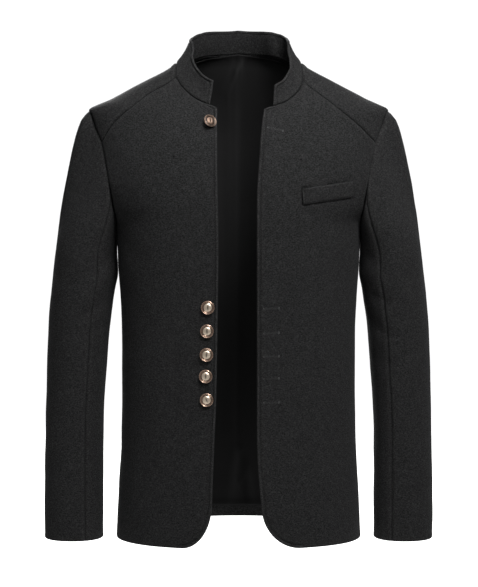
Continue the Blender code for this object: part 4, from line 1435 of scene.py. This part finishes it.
# Half of a button's section, from the middle of its face to its edge and back to its shank,
# with the finish of the ring that starts at each point.
Turn = namedtuple("Turn", "radius height finish")
PLATE, DISC, ENAMEL = 0, 1, 2
BUTTON = (
    Turn(0, 4.8, DISC), Turn(0.5, 4.8, DISC), Turn(1.0, 4.8, DISC), Turn(1.5, 4.79, DISC),
    Turn(2.0, 4.77, DISC), Turn(2.5, 4.74, DISC), Turn(3.0, 4.69, DISC), Turn(3.5, 4.62, DISC),
    Turn(4.1, 4.49, DISC), Turn(4.8, 4.26, DISC), Turn(5.4, 3.96, DISC), Turn(5.9, 3.6, DISC),
    Turn(6.15, 3.2, ENAMEL), Turn(6.3, 2.85, ENAMEL), Turn(6.95, 2.85, ENAMEL),
    Turn(7.15, 3.3, PLATE), Turn(7.3, 3.65, PLATE), Turn(7.6, 3.8, PLATE),
    Turn(7.9, 3.65, ENAMEL), Turn(8.05, 3.2, ENAMEL), Turn(8.55, 3.2, PLATE),
    Turn(8.75, 3.7, PLATE), Turn(9.05, 3.9, PLATE), Turn(9.4, 3.8, PLATE),
    Turn(9.65, 3.45, PLATE), Turn(9.7, 3.0, PLATE), Turn(9.4, 2.5, PLATE),
    Turn(8.6, 2.2, PLATE), Turn(6.0, 2.0, PLATE), Turn(2.7, 1.9, PLATE),
    Turn(2.45, 1.6, PLATE), Turn(2.4, 0.6, PLATE), Turn(2.3, -0.3, PLATE), Turn(0, -0.5, PLATE),
)
BUTTON_SIDES = 56
BUTTON_SLOT = Mark(1.1, 3.4)
SLOT_DEPTH = 0.6

# How each button sits on its shank: turned about it, tipped to the wearer's left, and how far
# it stands off the cloth.
Seat = namedtuple("Seat", "spin tip lift")
BUTTON_SEATS = (Seat(8, 26, 2.2), Seat(-3, 2, 0), Seat(4, 3, 0), Seat(-6, 2, 0),
                Seat(2, 3, 0), Seat(22, 2, 0))


def button_mesh(name, place, normal, seat):
    """A turned shank button with a sunk slot in the middle of its disc, and its shade."""
    axis = Vector(normal).normalized()
    upright = (Vector((0, 0, 1)) - axis * axis.z).normalized()
    axis.rotate(Quaternion(upright, math.radians(seat.tip)))
    upright.rotate(Quaternion(axis, math.radians(seat.spin)))
    sideways = upright.cross(axis)
    points, faces, finishes, shades = [], [], [], []
    for turn in BUTTON:
        ring = 1 if turn.radius == 0 else BUTTON_SIDES
        for k in range(ring):
            angle = 2 * math.pi * k / BUTTON_SIDES
            across, up = turn.radius * math.cos(angle), turn.radius * math.sin(angle)
            slot = (across / BUTTON_SLOT.across) ** 2 + (up / BUTTON_SLOT.height) ** 2
            sunk = math.exp(-slot ** 1.5) if turn.height > 4 else 0
            height = turn.height + (seat.lift if turn.height > 0 else 0) - SLOT_DEPTH * sunk
            points.append(Vector(place) + sideways * across + upright * up + axis * height)
            # Painted shade in the sunk slot, which the metal's colour takes from the tone attribute.
            shades.append(0.5 - 0.45 * sunk)
    start = 0
    for turn, following in zip(BUTTON, BUTTON[1:]):
        ring = 1 if turn.radius == 0 else BUTTON_SIDES
        after = start + ring
        for k in range(BUTTON_SIDES):
            second = (k + 1) % BUTTON_SIDES
            if turn.radius == 0:
                face = (start, after + k, after + second)
            elif following.radius == 0:
                face = (start + k, after, start + second)
            else:
                face = (start + k, after + k, after + second, start + second)
            faces.append(face)
            finishes.append(turn.finish)
        start = after
    mesh = bpy.data.meshes.new(name)
    mesh.from_pydata([point * MM for point in points], [], faces)
    mesh.polygons.foreach_set("material_index", finishes)
    mesh.attributes.new("tone", "FLOAT", "POINT").data.foreach_set("value", shades)
    mesh.shade_smooth()
    return mesh


# How much darker the neck's button is made, and how pale a buttonhole's bar.
NECK_BUTTON_DARKENING = 0.38
BAR_PALENESS = 7.0


# Properties

def colour_property(name, description, default):
    """A colour in the add-on's panel."""
    return FloatVectorProperty(name=name, description=description, subtype="COLOR", size=3,
                               min=0, max=1, default=default)


def length_property(name, description, default):
    """A length in the add-on's panel."""
    return FloatProperty(name=name, description=description, unit="LENGTH", default=default)


class MaoJacketCloth(bpy.types.PropertyGroup):
    """The cloth's finish"""
    wool_dark: colour_property("Wool dark", "Darker fibres of the wool", (0.0062, 0.0062, 0.0062))
    wool_light: colour_property("Wool light", "Lighter fibres of the wool", (0.0260, 0.0260, 0.0260))
    wool_hair: colour_property("Pale hairs", "Long pale hairs on the nap", (0.075, 0.075, 0.076))
    satin: colour_property("Satin", "Colour of the back lining", (0.0115, 0.0115, 0.0116))
    fibre_size: length_property("Fibre size", "Size of the melange", 0.0016)
    nap: length_property("Nap", "Height of the nap", 0.0005)


class MaoJacketSewing(bpy.types.PropertyGroup):
    """Sewing thread and stitches"""
    thread: colour_property("Thread", "Colour of the edge stitches", (0.012, 0.012, 0.0125))
    twist: colour_property("Twist", "Colour of the buttonhole stitches", (0.013, 0.013, 0.013))
    # The slit's colour is painted shadow: a near-black strip sewn where the cut opening lies in
    # shade.
    slit_shadow: colour_property("Slit", "Colour inside a buttonhole", (0.0015, 0.0015, 0.0016))
    stitch_length: length_property("Stitch length", "Length of an edge stitch", 0.0026)
    stitch_spacing: length_property("Stitch spacing", "From one edge stitch to the next", 0.0034)
    thread_size: length_property("Thread size", "Thickness of the thread", 0.00045)


class MaoJacketButtons(bpy.types.PropertyGroup):
    """Finish of the buttons"""
    rim: colour_property("Rim", "Rose gold of the rim", (0.66, 0.46, 0.35))
    disc: colour_property("Disc", "Pale gold of the raised disc", (0.84, 0.70, 0.56))


class MaoJacketStage(bpy.types.PropertyGroup):
    """Camera and floor"""
    distance: length_property("Camera distance", "From the camera to the middle of the jacket", 2.7)
    eye_level: length_property("Eye level", "Height of the camera", -0.231)
    lens: FloatProperty(
        name="Lens", description="Focal length in millimetres", default=110.4)
    floor: length_property("Floor", "Height of the floor", -0.95)


# Operators

class JACKET_OT_fronts(bpy.types.Operator):
    """Makes the two fronts"""
    bl_idname = "jacket.fronts"
    bl_label = "Fronts"

    def execute(self, context):
        for name in SIDES:
            make_front(name)
        return {"FINISHED"}


class JACKET_OT_back(bpy.types.Operator):
    """Makes the back"""
    bl_idname = "jacket.back"
    bl_label = "Back"

    def execute(self, context):
        make_back()
        return {"FINISHED"}


class JACKET_OT_lining(bpy.types.Operator):
    """Makes the satin back lining"""
    bl_idname = "jacket.lining"
    bl_label = "Back lining"

    def execute(self, context):
        make_lining()
        return {"FINISHED"}


class JACKET_OT_collar(bpy.types.Operator):
    """Makes the stand collar"""
    bl_idname = "jacket.collar"
    bl_label = "Collar"

    def execute(self, context):
        make_collar()
        return {"FINISHED"}


class JACKET_OT_sleeves(bpy.types.Operator):
    """Makes the two sleeves, each of a top and an under piece"""
    bl_idname = "jacket.sleeves"
    bl_label = "Sleeves"

    def execute(self, context):
        loop, run, angles = armhole_loop()
        front, back = seam_shares(run, angles)
        for name in SIDES:
            make_sleeve_half("sleeve_top", name, front, back)
            make_sleeve_half("sleeve_under", name, back, 1 + front)
        return {"FINISHED"}


class JACKET_OT_welt(bpy.types.Operator):
    """Makes the chest pocket's welt"""
    bl_idname = "jacket.welt"
    bl_label = "Chest welt"

    def execute(self, context):
        make_welt()
        return {"FINISHED"}


class JACKET_OT_edge_stitches(bpy.types.Operator):
    """Sews the edge stitching of the fronts and the collar"""
    bl_idname = "jacket.edge_stitches"
    bl_label = "Edge stitches"

    def execute(self, context):
        sewing = context.scene.mao_jacket_sewing
        stitch = [size / MM for size in (sewing.stitch_length, sewing.thread_size,
                                         sewing.thread_size)]
        paths = [front_stitch_path(name) for name in SIDES] + [collar_stitch_path()]
        sewn("edge_stitches", paths, stitch, sewing.stitch_spacing / MM,
             thread_material("charcoal_thread", sewing.thread))
        return {"FINISHED"}


class JACKET_OT_buttonholes(bpy.types.Operator):
    """Sews the six buttonholes of the left front"""
    bl_idname = "jacket.buttonholes"
    bl_label = "Buttonholes"

    def execute(self, context):
        look = surface_of(bpy.data.objects["front_left_cloth"])
        placed = [buttonhole_paths(look, hole) for hole in BUTTONHOLES]
        sewing = context.scene.mao_jacket_sewing
        twist = thread_material("buttonhole_twist", sewing.twist)
        pale = thread_material("bar_twist", shade_of(sewing.twist, BAR_PALENESS))
        shade = thread_material("slit_painted_shadow", sewing.slit_shadow)
        sewn("buttonhole_stitches", [paths[0] for paths in placed], (0.36, 1.25, 0.5), 0.5,
             twist, unevenness=0.6)
        ends = [paths[k] for paths in placed for k in (1, 3)]
        sewn("buttonhole_bars", ends, (0.6, 1.7, 0.9), 0.5, pale, unevenness=0.3, seed=3)
        # A near-black strip of stitches along each slit: painted shadow in the opening.
        sewn("buttonhole_slit_shadows", [paths[2] for paths in placed], (0.7, 0.9, 0.3), 0.45, shade)
        return {"FINISHED"}


class JACKET_OT_buttons(bpy.types.Operator):
    """Makes the six shank buttons of the right front"""
    bl_idname = "jacket.buttons"
    bl_label = "Buttons"

    def execute(self, context):
        look = surface_of(bpy.data.objects["front_right_cloth"])
        colours = context.scene.mao_jacket_buttons
        darker_rim = shade_of(colours.rim, NECK_BUTTON_DARKENING)
        dark_plate = metal_material("dark_rose_plate", darker_rim, 0.3, 0.6)
        dark_disc = metal_material("dark_copper_disc", darker_rim, 0.45, 0.15)
        plate = metal_material("rose_gold_plate", colours.rim, 0.25, 0.75)
        disc = metal_material("pale_gold_disc", colours.disc, 0.32, 0.9)
        enamel = enamel_material()
        for number, (mark, seat) in enumerate(zip(BUTTONS, BUTTON_SEATS), 1):
            place, normal = look(*mark)
            mesh = button_mesh(f"button_{number}_turned", place, normal, seat)
            rim, face = (dark_plate, dark_disc) if number == 1 else (plate, disc)
            piece = add_piece(f"button_{number}_turned", mesh, rim, face, enamel)
            dress(piece, "rose_gold", f"button_{number}")
        return {"FINISHED"}


class JACKET_OT_stage(bpy.types.Operator):
    """Makes the floor, the light and the camera"""
    bl_idname = "jacket.stage"
    bl_label = "Stage"

    def execute(self, context):
        make_stage(context.scene)
        return {"FINISHED"}


# Stage

Lamp = namedtuple("Lamp", "name x y z size power")
LAMPS = (
    Lamp("key_light", 0.52, -1.12, 1.12, 0.8, 44),
    Lamp("fill_light", -0.3, -2.0, 1.2, 1.4, 4),
    Lamp("top_light", 0.1, -0.3, 1.5, 1.0, 11),
    Lamp("back_light", -0.5, 2.6, 1.3, 1.6, 150),
)
FLOOR_HALF = 9.0


def pale_material():
    """Matt pale floor."""
    material, tree, shader, place = new_material("pale_floor")
    grain = node(tree, "ShaderNodeTexNoise", {"Vector": place, "Scale": 3.0, "Detail": 2.0})
    tree.links.new(mixed(tree, grain.outputs[0], (0.5, 0.5, 0.5), (0.53, 0.53, 0.53)),
                   shader.inputs["Base Color"])
    shader.inputs["Roughness"].default_value = 0.9
    shader.inputs["Emission Color"].default_value = (1, 1, 1, 1)
    seen = tree.nodes.new("ShaderNodeLightPath").outputs["Is Camera Ray"]
    tree.links.new(seen, shader.inputs["Emission Strength"])
    return material


# How bright the white surround is in the picture, in reflections and as a light.
SURROUND = {"Is Camera Ray": 1.05, "Is Glossy Ray": 0.3}
SURROUND_LIGHT = 0.06
CAMERA_PITCH = 2.5
CAMERA_ACROSS = 0.0007
LIT_POINT = (0, 0, -0.33)


def make_stage(scene):
    """A pale floor, soft lamps, a white surround and the camera at the photo's angle."""
    stage = scene.mao_jacket_stage
    half = FLOOR_HALF
    mesh = bpy.data.meshes.new("floor")
    corners = [(-half, -half, stage.floor), (half, -half, stage.floor),
               (half, half, stage.floor), (-half, half, stage.floor)]
    mesh.from_pydata(corners, [], [(0, 1, 2, 3)])
    add_piece("floor", mesh, pale_material())
    middle = Vector(LIT_POINT)
    for lamp in LAMPS:
        light = bpy.data.lights.new(lamp.name, "AREA")
        light.shape = "DISK"
        light.size = lamp.size
        light.energy = lamp.power
        holder = add_piece(lamp.name, light)
        holder.location = (lamp.x, lamp.y, lamp.z)
        holder.rotation_euler = (middle - holder.location).to_track_quat("-Z", "Y").to_euler()
    world = bpy.data.worlds.new("white_surround")
    world.use_nodes = True
    tree = world.node_tree
    seen = tree.nodes.new("ShaderNodeLightPath")
    strength = SURROUND_LIGHT
    for ray, bright in SURROUND.items():
        strength = maths(tree, "MAXIMUM", strength,
                         maths(tree, "MULTIPLY", seen.outputs[ray], bright))
    background = tree.nodes["Background"]
    background.inputs["Color"].default_value = (1, 1, 1, 1)
    tree.links.new(strength, background.inputs["Strength"])
    scene.world = world
    scene.view_settings.view_transform = "Standard"
    data = bpy.data.cameras.new("camera")
    data.lens = stage.lens
    data.sensor_width = 36
    camera = add_piece("camera", data)
    camera.location = (CAMERA_ACROSS, -stage.distance, stage.eye_level)
    camera.rotation_euler = (math.radians(90 - CAMERA_PITCH), 0, 0)
    scene.camera = camera


class JACKET_PT_parts(bpy.types.Panel):
    """The parts of the jacket"""
    bl_label = "Mao jacket"
    bl_idname = "JACKET_PT_parts"
    bl_space_type = "VIEW_3D"
    bl_region_type = "UI"
    bl_category = "Jacket"

    def draw(self, context):
        for group in (context.scene.mao_jacket_cloth, context.scene.mao_jacket_sewing,
                      context.scene.mao_jacket_buttons, context.scene.mao_jacket_stage):
            box = self.layout.box()
            for name in group.bl_rna.properties.keys():
                if name not in {"rna_type", "name"}:
                    box.prop(group, name)
        for operator in OPERATORS:
            self.layout.operator(operator.bl_idname)


GROUPS = {
    "mao_jacket_cloth": MaoJacketCloth,
    "mao_jacket_sewing": MaoJacketSewing,
    "mao_jacket_buttons": MaoJacketButtons,
    "mao_jacket_stage": MaoJacketStage,
}
OPERATORS = (JACKET_OT_fronts, JACKET_OT_back, JACKET_OT_lining, JACKET_OT_collar,
             JACKET_OT_sleeves, JACKET_OT_welt, JACKET_OT_edge_stitches,
             JACKET_OT_buttonholes, JACKET_OT_buttons, JACKET_OT_stage)


def register():
    for name, group in GROUPS.items():
        bpy.utils.register_class(group)
        setattr(bpy.types.Scene, name, PointerProperty(type=group))
    for made in OPERATORS + (JACKET_PT_parts,):
        bpy.utils.register_class(made)


def unregister():
    for made in reversed(OPERATORS + (JACKET_PT_parts,)):
        bpy.utils.unregister_class(made)
    for name, group in GROUPS.items():
        delattr(bpy.types.Scene, name)
        bpy.utils.unregister_class(group)


# The cut of each cloth piece: the longest row and the longest column of its surface, and the
# area of one layer of it in square metres.
Cut = namedtuple("Cut", "width length area")


def main():
    """Makes every piece in order."""
    register()
    for operator in OPERATORS:
        group, name = operator.bl_idname.split(".")
        getattr(getattr(bpy.ops, group), name)()


if __name__ == "__main__":
    main()
